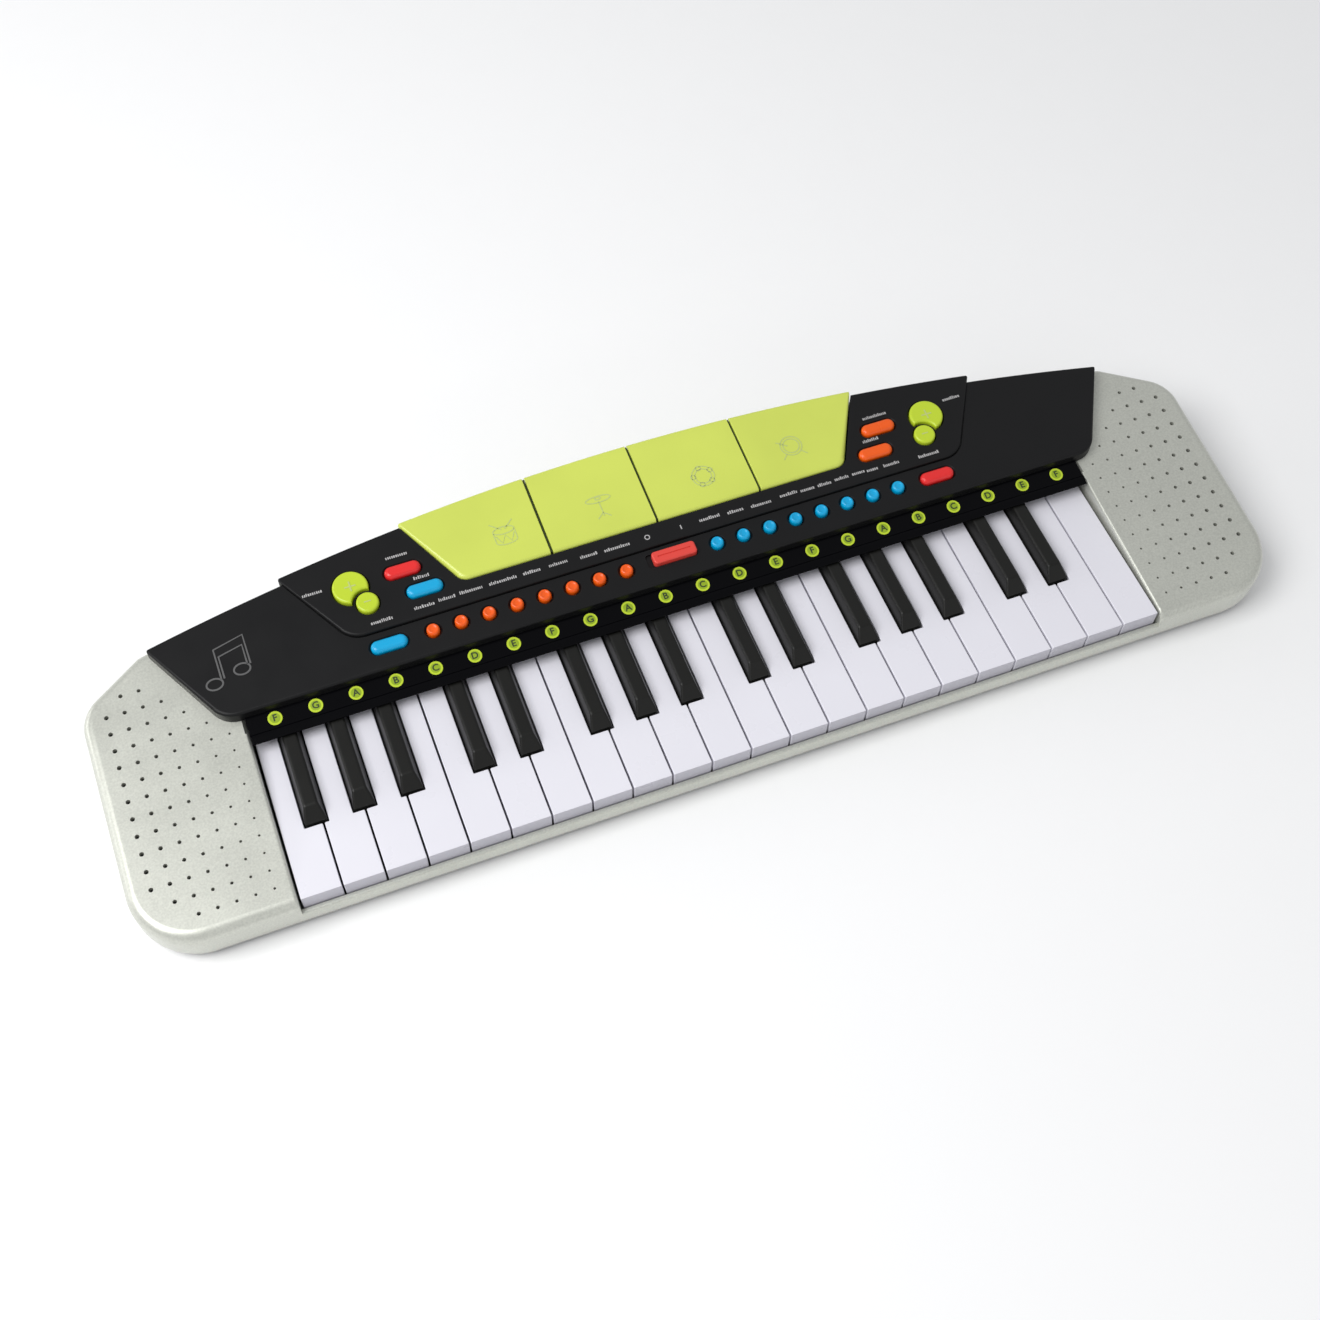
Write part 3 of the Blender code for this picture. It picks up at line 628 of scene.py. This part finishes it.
def make_tray():
    """The lower casing: floor, low wall, key rail, battery box, screw posts and rubber feet."""
    clear = CASE_WALL + GAP
    above = level(20 * MM)
    plate = moulded(lambda inset: case_outline(clear + inset), level(FLOOR), level(TRAY_WALL_TOP),
                    0.3 * MM, 2, foot=0.5 * MM)
    tray = to_object("lower_tray", plate)
    carve(tray, "DIFFERENCE", prisms([(case_outline(clear + TRAY_WALL), level(FLOOR_TOP), above)]))
    slot = rectangle(BED_HALF - GAP, BED_HALF + CASE_WALL + GAP, -CASE_BACK, CASE_BACK)
    slots = [(outline, level(FLOOR_TOP), above) for outline in (slot, mirrored(slot))]
    carve(tray, "DIFFERENCE", prisms(slots))
    foot = level(FLOOR_TOP - 0.5 * MM)
    posts = [(circle(at, END_POST_RADIUS, 20), foot, deck(-CASE_WALL - GAP)) for at in END_SCREWS]
    posts += [(circle(at, BACK_POST_RADIUS, 20), foot, level(5 * MM)) for at in BACK_SCREWS]
    rail = (rectangle(-200 * MM, 200 * MM, RAIL_FRONT, RAIL_BACK), foot, level(RAIL_TOP))
    door_low, door_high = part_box("battery_door")
    around_door = rectangle(door_low.x - BATTERY_WALL, door_high.x + BATTERY_WALL,
                            door_low.y - BATTERY_WALL, door_high.y + BATTERY_WALL)
    carve(tray, "UNION", prisms(posts + [rail, (around_door, foot, level(BATTERY_TOP))]))
    inside = rectangle(door_low.x - GAP, door_high.x + GAP, door_low.y - GAP, door_high.y + GAP)
    below = level(-1 * MM)
    bores = [(circle(at, SCREW_BORE, 24), below, level(FLOOR_TOP)) for at in SCREWS]
    sockets = [(circle(at, FOOT_SOCKET, 32), below, level(FLOOR + 0.5 * MM)) for at in FEET]
    carve(tray, "DIFFERENCE", prisms([(inside, below, level(BATTERY_ROOF))] + bores + sockets))
    vents = [(stadium((side * VENT_X, y * MM), VENT_LENGTH, VENT_WIDTH), below, level(FLOOR_TOP + MM))
             for side in (-1, 1) for y in (-20, -15, -10, -5)]
    carve(tray, "DIFFERENCE", prisms(vents))
    finished(tray, TRAY, "casing", "casing_base", "bottom_case", sharp=35)

    pads = [lofted([ring_at(circle(at, r * MM), level(z * MM)) for r, z in FOOT_PROFILE]) for at in FEET]
    finished(to_object("rubber_feet", joined(pads)), RUBBER, "casing", "foot_rubber", sharp=40)


def make_screws():
    """Countersunk cross-head screws in the bores of the lower casing."""
    heads = [lofted([ring_at(circle(at, r * MM, 28), level(z * MM)) for r, z in SCREW_PROFILE])
             for at in SCREWS]
    screws = to_object("case_screws", joined(heads))
    for half_x, half_y, depth in ((CROSS_LONG, CROSS_THIN, 2.3), (CROSS_THIN, CROSS_LONG, 2.2)):
        slots = [(rectangle(x - half_x, x + half_x, y - half_y, y + half_y), level(0), level(depth * MM))
                 for x, y in SCREWS]
        carve(screws, "DIFFERENCE", prisms(slots))
    finished(screws, STEEL, "casing", "screw_steel", sharp=30)


def make_door():
    """Battery door with a row of grip ribs near its front edge."""
    door_low, door_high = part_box("battery_door")
    at = middle("battery_door")
    size = door_high - door_low
    chamfer = 0.4 * MM
    rings = []
    for inset, z in ((chamfer, door_low.z), (0, door_low.z + chamfer), (0, door_high.z)):
        outline = stadium((at.x, at.y), size.x - 2 * inset, size.y - 2 * inset, radius=1.5 * MM)
        rings.append(ring_at(outline, level(z)))
    door = to_object("battery_door_plate", lofted(rings))
    ribs = [(rectangle(-9 * MM, 9 * MM, y * MM, (y + 0.9) * MM), level(1.2 * MM), level(2 * MM))
            for y in (30, 32, 34, 36)]
    carve(door, "UNION", prisms(ribs))
    finished(door, TRAY, "casing", "casing_base", "battery_door", sharp=30)


# ---------------------------------------------------------------- control panel

def rocker_places(side):
    return [Vector((side * x, y)) for x, y in (ROCKER_BIG, ROCKER_SMALL)]


def notched_disc(side, radius, neck):
    """The larger rocker cap in plan: a disc that the ring around the smaller cap bites into."""
    big, small = rocker_places(side)
    bite = ROCKER_SMALL_RADIUS + neck
    apart = (small - big).length
    towards = math.atan2(small.y - big.y, small.x - big.x)
    half = math.acos((radius ** 2 + apart ** 2 - bite ** 2) / (2 * radius * apart))
    steps = 40
    sweep = 2 * math.pi - 2 * half
    rim = [big + Matrix.Rotation(towards + half + sweep * i / steps, 2) @ Vector((radius, 0))
           for i in range(steps + 1)]
    start = rim[-1] - small
    turn = start.angle_signed(rim[0] - small)
    return rim + [small + Matrix.Rotation(-turn * i / 10, 2) @ start for i in range(1, 10)]


def flared(outline_at, surface, flare=0.8 * MM):
    """A cutter for a button's hole: straight below, and opening out near the surface."""
    levels = [(0, -9 * MM), (0, -flare), (flare, 0.02 * MM), (flare + 0.05 * MM, 3 * MM)]
    return lofted([ring_at(outline_at(wider), deck(surface + lift)) for wider, lift in levels])


PILLS = {"record_button": "red", "play_button": "blue", "chord_button": "blue",
         "rhythm_button": "orange", "demo_button": "orange", "stop_button": "red"}


def pill_nodes():
    """(node, its middle in plan, surface it stands on) for each pill-shaped button."""
    for node in PILLS:
        at = middle(node)
        yield node, (at.x, at.y), PANEL_LIFT if at.y < PLATEAU_FRONT else PLATEAU_LIFT


def wing_outline(inset):
    return trapezium(PANEL_CORNER_X, PANEL_BACK, PANEL_FRONT_X, PANEL_FRONT, PANEL_RADIUS, inset)


def plateau_outline(inset):
    return trapezium(PLATEAU_CORNER_X, PLATEAU_BACK, PLATEAU_FRONT_X, PLATEAU_FRONT, PANEL_RADIUS, inset)


def make_panel():
    """The black cover: wings, plateau, the gap for the pads, posts, and a hole for each button."""
    panel = to_object("control_panel_cover", moulded(wing_outline, deck(GAP), deck(PANEL_LIFT), 1.3 * MM, 8))
    groove = [(plateau_outline(-0.5 * MM), deck(PANEL_LIFT - 0.8 * MM), deck(20 * MM))]
    carve(panel, "DIFFERENCE", prisms(groove))
    carve(panel, "UNION", moulded(plateau_outline, deck(GAP), deck(PLATEAU_LIFT), 1.0 * MM, 8))
    cavity = trapezium(PANEL_CORNER_X, PANEL_BACK, PANEL_FRONT_X, PANEL_FRONT, 10 * MM, PANEL_SKIN)
    carve(panel, "DIFFERENCE", prisms([(cavity, deck(-20 * MM), deck(CAVITY_TOP))]))

    pads = trapezium(PADS_CORNER_X + 3.5 * MM, PADS_BACK + 6 * MM, PADS_FRONT_X + 0.5 * MM,
                     PADS_FRONT - 0.5 * MM, 7 * MM, back_radius=0.5 * MM)
    carve(panel, "DIFFERENCE", prisms([(pads, deck(-21 * MM), deck(21 * MM))]))
    foot, head = deck(-0.9 * MM), deck(3.6 * MM)
    posts = [(circle((side * x * MM, y * MM), 2.5 * MM, 16), foot, head)
             for side in (-1, 1) for x, y in PANEL_POSTS]
    carve(panel, "UNION", prisms(posts))

    for side in (-1, 1):
        for k in range(ROUND_COUNT):
            at = (side * (ROUND_FIRST + ROUND_STEP * k), ROUND_Y)
            carve(panel, "DIFFERENCE", flared(lambda w: circle(at, ROUND_RADIUS + GAP + w), PANEL_LIFT))
        small = rocker_places(side)[1]
        ring = ROCKER_SMALL_RADIUS + GAP
        carve(panel, "DIFFERENCE", flared(lambda w: circle(small, ring + w * 0.6), PLATEAU_LIFT))
        big, neck = ROCKER_BIG_RADIUS + GAP, ROCKER_NECK - GAP
        hole = flared(lambda w: notched_disc(side, big + w * 0.8, neck - w * 0.6), PLATEAU_LIFT)
        carve(panel, "DIFFERENCE", hole)
    for _, at, surface in pill_nodes():
        hole = flared(lambda w: stadium(at, PILL_LENGTH + 2 * (GAP + w), PILL_WIDTH + 2 * (GAP + w)), surface)
        carve(panel, "DIFFERENCE", hole)
    recess = stadium((0, SLIDER_Y), 24.2 * MM, 7.2 * MM, radius=1.6 * MM)
    carve(panel, "DIFFERENCE", prisms([(recess, deck(5.0 * MM), deck(20 * MM))]))
    slit = rectangle(-7 * MM, 7 * MM, SLIDER_Y - 1.5 * MM, SLIDER_Y + 1.5 * MM)
    carve(panel, "DIFFERENCE", prisms([(slit, deck(2 * MM), deck(20 * MM))]))
    finished(panel, PANEL, "casing", "panel_black", "control_panel", sharp=35)


def make_note_strip():
    """The glossy ledge in front of the panel, over the backs of the keys."""
    corners = [(-6.9, 28.85, 0.3), (-1.5, 28.85, 0), (7.6, 31.0, 0), (7.6, 31.75, 0), (-2.2, 30.3, 0.6),
               (-3.0, 30.65, 0.5), (-4.2, 30.5, 0.8), (-6.5, 29.6, 0.5)]
    profile = rounded([(y * MM, z * MM, r * MM) for y, z, r in corners], steps=5)
    strip = to_object("note_strip", along_x(profile, BED_HALF - 0.6 * MM))
    finished(strip, GLOSS_BLACK, "casing", "panel_black", sharp=30)


def on_strip(lift):
    return lambda y: 30.3 * MM + 0.148 * (y + 2.2 * MM) + lift


def lettering(text, x, y, size, surface, thickness=0.1 * MM):
    """Raised letters as a bmesh, centred in plan and lying on a surface."""
    curve = bpy.data.curves.new("letters", "FONT")
    curve.body = text
    curve.size = size
    curve.align_x = "CENTER"
    curve.align_y = "CENTER"
    curve.extrude = 0.5
    curve.offset = 0.1 * MM
    curve.resolution_u = 3
    source = bpy.data.objects.new("letters", curve)
    bpy.context.scene.collection.objects.link(source)
    data = bpy.data.meshes.new_from_object(source.evaluated_get(bpy.context.evaluated_depsgraph_get()))
    mesh = bmesh.new()
    mesh.from_mesh(data)
    bmesh.ops.remove_doubles(mesh, verts=mesh.verts, dist=1e-6)
    for vertex in mesh.verts:
        place_y = y + vertex.co.y
        lift = thickness if vertex.co.z > 0 else -SEAT
        vertex.co = (x + vertex.co.x, place_y, surface(place_y) + lift)
    bpy.data.objects.remove(source)
    bpy.data.curves.remove(curve)
    bpy.data.meshes.remove(data)
    return mesh


def make_note_dots():
    """A lime dot with the note's letter for each white key, printed on the ledge."""
    rims, middles, letters = [], [], []
    for k in range(len(WHITES)):
        at = ((0.649 + 0.986 * k - len(WHITES) / 2) * PITCH, 2.2 * MM)
        rims.append((circle(at, 3.2 * MM, 36), on_strip(-0.1 * MM), on_strip(PRINT_LIFT)))
        middles.append((circle(at, 2.3 * MM, 36), on_strip(0), on_strip(0.14 * MM)))
        letters.append(lettering("FGABCDE"[k % 7], at[0], at[1], 4.4 * MM, on_strip(0.14 * MM), 0.06 * MM))
    finished(to_object("note_dot_rims", prisms(rims)), LIME_DEEP, "casing", "lime_plastic")
    finished(to_object("note_dot_middles", prisms(middles)), LIME_DARK, "casing", "lime_plastic")
    finished(to_object("note_letters", joined(letters)), INK_AND_GAP_SHADE, "casing", "panel_black")


# ---------------------------------------------------------------- printed marks

def words(x, y, width, surface, rough, height=1.2 * MM):
    """A short row of small uneven blocks, which stands for a printed word."""
    blocks = []
    at = x - width / 2
    while at < x + width / 2 - 0.3 * MM:
        wide = rough.uniform(0.4, 0.75) * MM
        tall = height * rough.choice((1, 1, 1, 1.35))
        block = rectangle(at, at + wide, y - height / 2, y - height / 2 + tall)
        blocks.append((block, surface(-SEAT), surface(PRINT_LIFT)))
        at += wide + rough.choice((0.3, 0.35, 0.4)) * MM
    return blocks


# (x, y, width) of each printed word, in mm: beside the pills and rockers, then behind each row of buttons
WORDS = [
    (-159.1, 51.8, 9), (-133.7, 28.6, 10), (-118.3, 58.2, 10), (-110.9, 44.2, 7),
    (118.7, 57.0, 12), (111.5, 45.0, 8), (158.4, 54.5, 9), (134.7, 28.6, 11),
    (-114, 29.5, 9), (-103.1, 30, 8), (-91.7, 30.3, 11), (-76.8, 30.3, 13),
    (-63, 30.3, 8.5), (-50.4, 30.4, 9), (-35.9, 29.8, 8.5), (-22.6, 29.5, 12),
    (23.2, 30.2, 10), (36, 29.7, 8), (48.9, 29.3, 10.5), (63, 30.1, 9), (72.3, 29.6, 7),
    (80.8, 29.6, 6.5), (89.9, 30, 7), (98.4, 30.1, 6), (105.8, 29.6, 6), (115.4, 29.5, 8),
]


def make_labels():
    """White words on the plateau, with a ring for off and a bar for on behind the slider."""
    rough = random.Random(4)
    blocks = []

    def high_up(lift):
        return deck(PLATEAU_LIFT + lift)

    for x, y, width in WORDS:
        blocks += words(x * MM, y * MM, width * MM, high_up, rough)
    marks = [prisms(blocks)]
    off = oval(-7.6 * MM, 30.0 * MM, 1.1 * MM, 1.1 * MM)
    marks.append(stroke(off, 0.45 * MM, high_up(0), PRINT_LIFT, closed=True))
    marks.append(stroke([(9.0 * MM, 28.9 * MM), (9.0 * MM, 31.1 * MM)], 0.5 * MM, high_up(0), PRINT_LIFT))
    finished(to_object("button_labels", joined(marks)), PRINT, "casing", "print_white")


def make_emblem():
    """A plain outlined pair of joined notes on the left wing."""
    surface = deck(PANEL_LIFT)
    x, y = -203 * MM, 31 * MM
    line, thick = 0.8 * MM, 0.1 * MM
    heads = [oval(x + dx * MM, y + dy * MM, 3.6 * MM, 2.7 * MM) for dx, dy in ((-7.5, -7.5), (5.5, -4.0))]
    parts = [stroke(head, line, surface, thick, closed=True) for head in heads]
    outline = [(-4.2, -6), (-4.2, 9), (9.6, 12.4), (9.6, -2.4),
               (8.2, -2.4), (8.2, 7.6), (-2.8, 5.0), (-2.8, -6)]
    points = [(x + a * MM, y + b * MM) for a, b in outline]
    parts.append(stroke(points, line, surface, thick))
    finished(to_object("note_emblem", joined(parts)), GREY_PRINT, "casing", "print_white")


def make_pad_pictures():
    """Line pictures of a drum, a cymbal, a tambourine and a bass drum, one on each pad."""
    surface = deck(PAD_LIFT)
    fine = 0.55 * MM

    def lines(x, y, *curves):
        made = []
        for points, closed in curves:
            placed = [((x + a) * MM, (y + b) * MM) for a, b in points]
            made.append(stroke(placed, fine, surface, 0.1 * MM, closed=closed))
        return joined(made)

    drum = lines(-68.6, 52, (oval(0, 2.6, 5, 1.9), True), ([(-5, 2.2), (-5, -3)], False),
                 ([(5, 2.2), (5, -3)], False), (oval(0, -3, 5, 1.9, 180, 359), False),
                 ([(-4.4, 0.4), (-2.2, -3.9), (0, 0), (2.2, -3.9), (4.4, 0.4)], False),
                 ([(-5.5, 7.2), (-0.8, 3.2)], False), ([(5.5, 7.2), (0.8, 3.2)], False))
    cymbal = lines(-22.3, 52.8, (oval(0, 3.2, 6, 1.7), True), (oval(0, 3.7, 1.4, 0.7), True),
                   ([(0, 2.0), (0, -6)], False), ([(-3.2, -7), (0, -4.2), (3.2, -7)], False))
    tambourine = lines(28.5, 51.9, (oval(0, 0, 5.4, 5.4), True), (oval(0, 0, 3.9, 3.9), True),
                       *[(oval(4.7 * math.cos(a), 4.7 * math.sin(a), 1.2, 1.2, steps=14), True)
                         for a in (0.5, 1.75, 3.0, 4.3, 5.5)])
    bass = lines(74, 54, (oval(0, 0, 5.2, 5.2), True), (oval(0, 0, 3.9, 3.9), True),
                 ([(-3.6, -3.9), (-6, -6.4)], False), ([(3.6, -3.9), (6, -6.4)], False),
                 ([(-6.4, 3.8), (-1.6, 0.4)], False))
    for number, mesh in enumerate((drum, cymbal, tambourine, bass), start=1):
        finished(to_object(f"pad_picture_{number}", mesh), LIME_SHADE, f"drum_pad_{number}", "lime_plastic")


# ---------------------------------------------------------------- buttons and pads

def make_round_buttons(node, material, slot, side):
    """Eight dished caps on their runner."""
    r, top = ROUND_RADIUS - 0.15 * MM, BUTTON_PROUD
    heights = [(1, -5.1), (1, -1.5), (0.97, -1.0), (0.91, -0.6), (0.83, -0.25), (0.74, -0.05), (0.66, 0),
               (0.58, -0.06), (0.48, -0.25), (0.36, -0.36), (0.15, -0.4)]
    profile = [(r * wide, top + drop * MM) for wide, drop in heights]
    caps = []
    for k in range(ROUND_COUNT):
        at = (side * (ROUND_FIRST + ROUND_STEP * k), ROUND_Y)
        rings = [ring_at(circle(at, radius), deck(PANEL_LIFT + lift)) for radius, lift in profile]
        caps.append(lofted(rings))
    box_low, box_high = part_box(node)
    runner = rectangle(box_low.x, box_high.x, box_low.y, box_high.y)
    caps.append(prisms([(runner, deck(FLANGE_BOTTOM), deck(FLANGE_TOP))]))
    finished(to_object(node + "_caps", joined(caps)), material, node, slot, node)


def make_pills():
    """Six pill-shaped caps, each on a flange that holds it under the panel."""
    looks = {"red": RED, "blue": BLUE, "orange": ORANGE}
    for node, at, surface in pill_nodes():

        def outline(inset):
            return stadium(at, PILL_LENGTH - 2 * inset, PILL_WIDTH - 2 * inset)

        cap = moulded(outline, deck(CAP_FOOT), deck(surface + BUTTON_PROUD), 2.1 * MM, 10)
        flange = stadium(at, PILL_LENGTH + 1.6 * MM, PILL_WIDTH + 1.6 * MM, radius=2 * MM)
        plate = prisms([(flange, deck(FLANGE_BOTTOM), deck(FLANGE_TOP))])
        made = to_object(node + "_cap", joined([cap, plate]))
        finished(made, looks[PILLS[node]], node, "button_" + PILLS[node], node)


def make_rockers():
    """A large and a small cap on each side, with a plus and a minus sign."""
    for node, side in (("volume_rocker", -1), ("tempo_rocker", 1)):
        big, small = rocker_places(side)
        top = deck(PLATEAU_LIFT + BUTTON_PROUD)

        def large(inset):
            return notched_disc(side, ROCKER_BIG_RADIUS - inset, ROCKER_NECK + inset)

        def little(inset):
            return circle(small, ROCKER_SMALL_RADIUS - inset)

        finished(to_object(node + "_large_cap", moulded(large, deck(CAP_FOOT), top, 1.1 * MM, 7)),
                 LIME_DEEP, node, "lime_plastic", node)
        finished(to_object(node + "_small_cap", moulded(little, deck(CAP_FOOT), top, 1.1 * MM, 7)),
                 LIME_DEEP, node, "lime_plastic")
        x, y = big
        arm, short_arm = 2.6 * MM, 1.6 * MM
        minus = [(small.x - short_arm, small.y), (small.x + short_arm, small.y)]
        marks = [stroke([(x - arm, y), (x + arm, y)], 0.7 * MM, top, 0.1 * MM),
                 stroke([(x, y - arm), (x, y + arm)], 0.7 * MM, top, 0.14 * MM),
                 stroke(minus, 0.6 * MM, top, 0.1 * MM)]
        finished(to_object(node + "_signs", joined(marks)), LIME_SHADE, node, "lime_plastic")


def make_slider():
    """The red power knob, with one groove across its top for the finger."""
    at = middle("power_slider")
    size = high("power_slider") - low("power_slider")

    def outline(inset):
        return stadium((at.x, at.y), size.x - 2 * inset, size.y - 2 * inset, radius=1.6 * MM - inset * 0.6)

    knob = to_object("power_slider_knob", moulded(outline, deck(5.3 * MM), deck(8.4 * MM), 0.9 * MM, 6))
    groove = rectangle(at.x - 8 * MM, at.x + 8 * MM, at.y - 0.4 * MM, at.y + 0.4 * MM)
    carve(knob, "DIFFERENCE", prisms([(groove, deck(8 * MM), deck(12 * MM))]))
    finished(knob, RED_SOFT, "power_slider", "button_red", "power_slider")


def pads_outline(inset):
    return trapezium(PADS_CORNER_X, PADS_BACK, PADS_FRONT_X, PADS_FRONT, PAD_RADIUS, inset)


def make_dividers():
    """Thin ribs of the panel that stand in the gaps between the drum pads, coloured dark green as painted
    shade of the gaps.
    """
    ribs = []
    for x in (-PAD_SPLIT, 0, PAD_SPLIT):
        outline = rectangle(x - 0.3 * MM, x + 0.3 * MM, PADS_FRONT + MM, arch(x, PADS_BACK) - 0.9 * MM)
        ribs.append((outline, deck(0.5 * MM), deck(PAD_LIFT - 1.1 * MM)))
    # The dark green colour is painted shade, standing in for the shade inside the gaps between the pads.
    finished(to_object("pad_dividers", prisms(ribs)), INK_AND_GAP_SHADE, "casing", "panel_black")


def make_pads():
    """Four pads cut from one moulded shape, with crisp edges where they part."""
    spans = [(-1, -PAD_SPLIT), (-PAD_SPLIT, 0), (0, PAD_SPLIT), (PAD_SPLIT, 1)]
    for number, (left, right) in enumerate(spans, start=1):
        node = f"drum_pad_{number}"
        pad = to_object(node + "_cover", moulded(pads_outline, deck(0.8 * MM), deck(PAD_LIFT), 1.9 * MM, 9))
        share = rectangle(left + 0.6 * MM, right - 0.6 * MM, -1, 1)
        carve(pad, "INTERSECT", prisms([(share, level(0), level(0.1))]))
        crisp = pad.modifiers.new("Cut edges", "BEVEL")
        crisp.width = 0.35 * MM
        crisp.segments = 3
        crisp.limit_method = "ANGLE"
        crisp.angle_limit = math.radians(60)
        finished(pad, LIME, node, "lime_plastic", node)


# ---------------------------------------------------------------- keys

def slots_beside(node):
    """X of the sides of the black keys that lie over a white key's left and right edges, or None."""
    left, right = low(node).x, high(node).x
    found = [None, None]
    for black in BLACKS:
        box_low, box_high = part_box(black)
        if box_low.x < left < box_high.x:
            found[0] = box_high.x
        if box_low.x < right < box_high.x:
            found[1] = box_low.x
    return found


def white_outline(node, inset):
    """A white key in plan, with a notch on each side where a black key lies."""
    left, right = low(node).x + inset, high(node).x - inset
    front = KEYS_FRONT + inset
    step = KEYS_FRONT + 1.68 * PITCH - inset
    clear = 0.6 * MM + inset
    over_left, over_right = slots_beside(node)
    corner = 0.45 * MM
    points = [(left, front, corner), (right, front, corner)]
    if over_right is None:
        points += [(right, KEYS_BACK, 0)]
    else:
        points += [(right, step, corner), (over_right - clear, step, corner),
                   (over_right - clear, KEYS_BACK, 0)]
    if over_left is None:
        points += [(left, KEYS_BACK, 0)]
    else:
        points += [(over_left + clear, KEYS_BACK, 0), (over_left + clear, step, corner),
                   (left, step, corner)]
    return rounded(points, steps=3)


def make_white_keys():
    edge = 0.4 * MM
    for node in WHITES:
        cap = moulded(lambda inset: white_outline(node, inset), level(KEY_BOTTOM), level(KEY_TOP), edge, 4)
        finished(to_object(node + "_cap", cap), WHITE, node, "key_white", node)


def make_black_keys():
    """Black keys with sloping sides, a slanted front, and a tongue that runs back under the panel."""
    front = low(BLACKS[0]).y
    crest_half = 0.165 * PITCH
    top = high(BLACKS[0]).z
    shoulder = KEY_TOP + 0.4 * MM
    for node in BLACKS:
        base_low, base_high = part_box(node)
        x = (base_low.x + base_high.x) / 2
        mesh = bmesh.new()
        ends = add_prism(mesh, rectangle(base_low.x, base_high.x, front, -1 * MM),
                         level(KEY_TOP - 9 * MM), level(shoulder))
        cap = next(f for f in mesh.faces if all(v in ends for v in f.verts))
        grown = bmesh.ops.extrude_face_region(mesh, geom=[cap])["geom"]
        mesh.faces.remove(cap)
        for vertex in (item for item in grown if isinstance(item, bmesh.types.BMVert)):
            vertex.co.x = x + math.copysign(crest_half, vertex.co.x - x)
            vertex.co.y += 0.33 * PITCH if vertex.co.y < front + MM else 0
            vertex.co.z = top
        bmesh.ops.recalc_face_normals(mesh, faces=mesh.faces)
        soft = [e for e in mesh.edges if max(v.co.z for v in e.verts) > shoulder + MM
                and e.calc_face_angle(0) > math.radians(20)]
        bmesh.ops.bevel(mesh, geom=soft, offset=1.0 * MM, segments=4, profile=0.5, affect="EDGES")
        add_prism(mesh, rectangle(base_low.x + MM, base_high.x - MM, -2 * MM, KEYS_BACK),
                  level(KEY_TOP - 8 * MM), level(KEY_TOP - 2 * MM))
        bmesh.ops.recalc_face_normals(mesh, faces=mesh.faces)
        finished(to_object(node + "_cap", mesh), BLACK, node, "key_black", node, sharp=30)


# ---------------------------------------------------------------- assembly

SILVER = plastic("silver_paint", (0.58, 0.59, 0.53), 0.38, bump=0.02, grain=1400, metallic=0.5, wear=0.2,
                 coat=0.2, flake=0.07)
TRAY = plastic("grey_base", (0.20, 0.20, 0.19), 0.5, bump=0.05, grain=1200, wear=0.2)
PANEL = plastic("satin_black", (0.008, 0.008, 0.0085), 0.40, bump=0.012, wear=0.05, specular=0.2)
GLOSS_BLACK = plastic("gloss_black", (0.0015, 0.0015, 0.0022), 0.20, bump=0.003, specular=0.08)
# The darker lilac-grey front colour is painted shade on the white keys' front faces.
WHITE = plastic("key_white", (0.80, 0.79, 0.85), 0.30, bump=0.004, mottling=0.012,
                front=(0.50, 0.49, 0.55))
BLACK = plastic("key_black", (0.008, 0.008, 0.007), 0.36, bump=0.015, wear=0.12, specular=0.28)
LIME = plastic("lime", (0.63, 0.72, 0.11), 0.33, bump=0.01, coat=0.2)
LIME_DEEP = plastic("lime_button", (0.53, 0.68, 0.03), 0.30, bump=0.008)
LIME_DARK = plastic("lime_dot", (0.30, 0.43, 0.012), 0.35, bump=0.004)
LIME_SHADE = plastic("lime_picture", (0.52, 0.60, 0.20), 0.4, bump=0.004)
ORANGE = plastic("orange", (0.90, 0.11, 0.004), 0.30, bump=0.008)
BLUE = plastic("light_blue", (0.0, 0.38, 0.70), 0.30, bump=0.008)
RED = plastic("red", (0.78, 0.022, 0.022), 0.30, bump=0.008)
RED_SOFT = plastic("slider_red", (0.75, 0.06, 0.045), 0.36, bump=0.008)
PRINT = plastic("white_print", (0.46, 0.45, 0.45), 0.5, bump=0.004)
GREY_PRINT = plastic("grey_print", (0.10, 0.10, 0.10), 0.5, bump=0.004)
# Dark ink for the printed note letters, also used as painted shade on the pad dividers.
INK_AND_GAP_SHADE = plastic("dark_ink_and_gap_shade", (0.03, 0.05, 0.01), 0.5, bump=0.004)
CLOTH = plastic("grille_cloth", (0.012, 0.012, 0.012), 0.9, bump=0.15, grain=2600, specular=0.2)
RUBBER = plastic("foot_rubber", (0.03, 0.03, 0.032), 0.8, bump=0.06, grain=1800)
STEEL = plastic("screw_steel", (0.55, 0.55, 0.56), 0.35, bump=0.01, metallic=1.0)
BOARD = plastic("circuit_green", (0.03, 0.20, 0.07), 0.4, bump=0.03, grain=700)
CONTACTS = plastic("contact_rubber", (0.22, 0.22, 0.23), 0.75, bump=0.05)
SPEAKER = plastic("speaker_cone", (0.03, 0.03, 0.03), 0.7, bump=0.08, grain=1500)

for carried, material in (("circuit_board", BOARD), ("key_contact_strip", CONTACTS),
                          ("speaker_left", SPEAKER), ("speaker_right", SPEAKER)):
    shown = bpy.data.objects[carried]
    shown.data.materials.clear()
    shown.data.materials.append(material)

make_camera()
make_studio()
make_casing()
make_grille_cloth()
make_tray()
make_screws()
make_door()
make_panel()
make_note_strip()
make_note_dots()
make_labels()
make_emblem()
make_round_buttons("voice_buttons", ORANGE, "button_orange", -1)
make_round_buttons("beat_buttons", BLUE, "button_blue", 1)
make_pills()
make_rockers()
make_slider()
make_dividers()
make_pads()
make_pad_pictures()
make_white_keys()
make_black_keys()
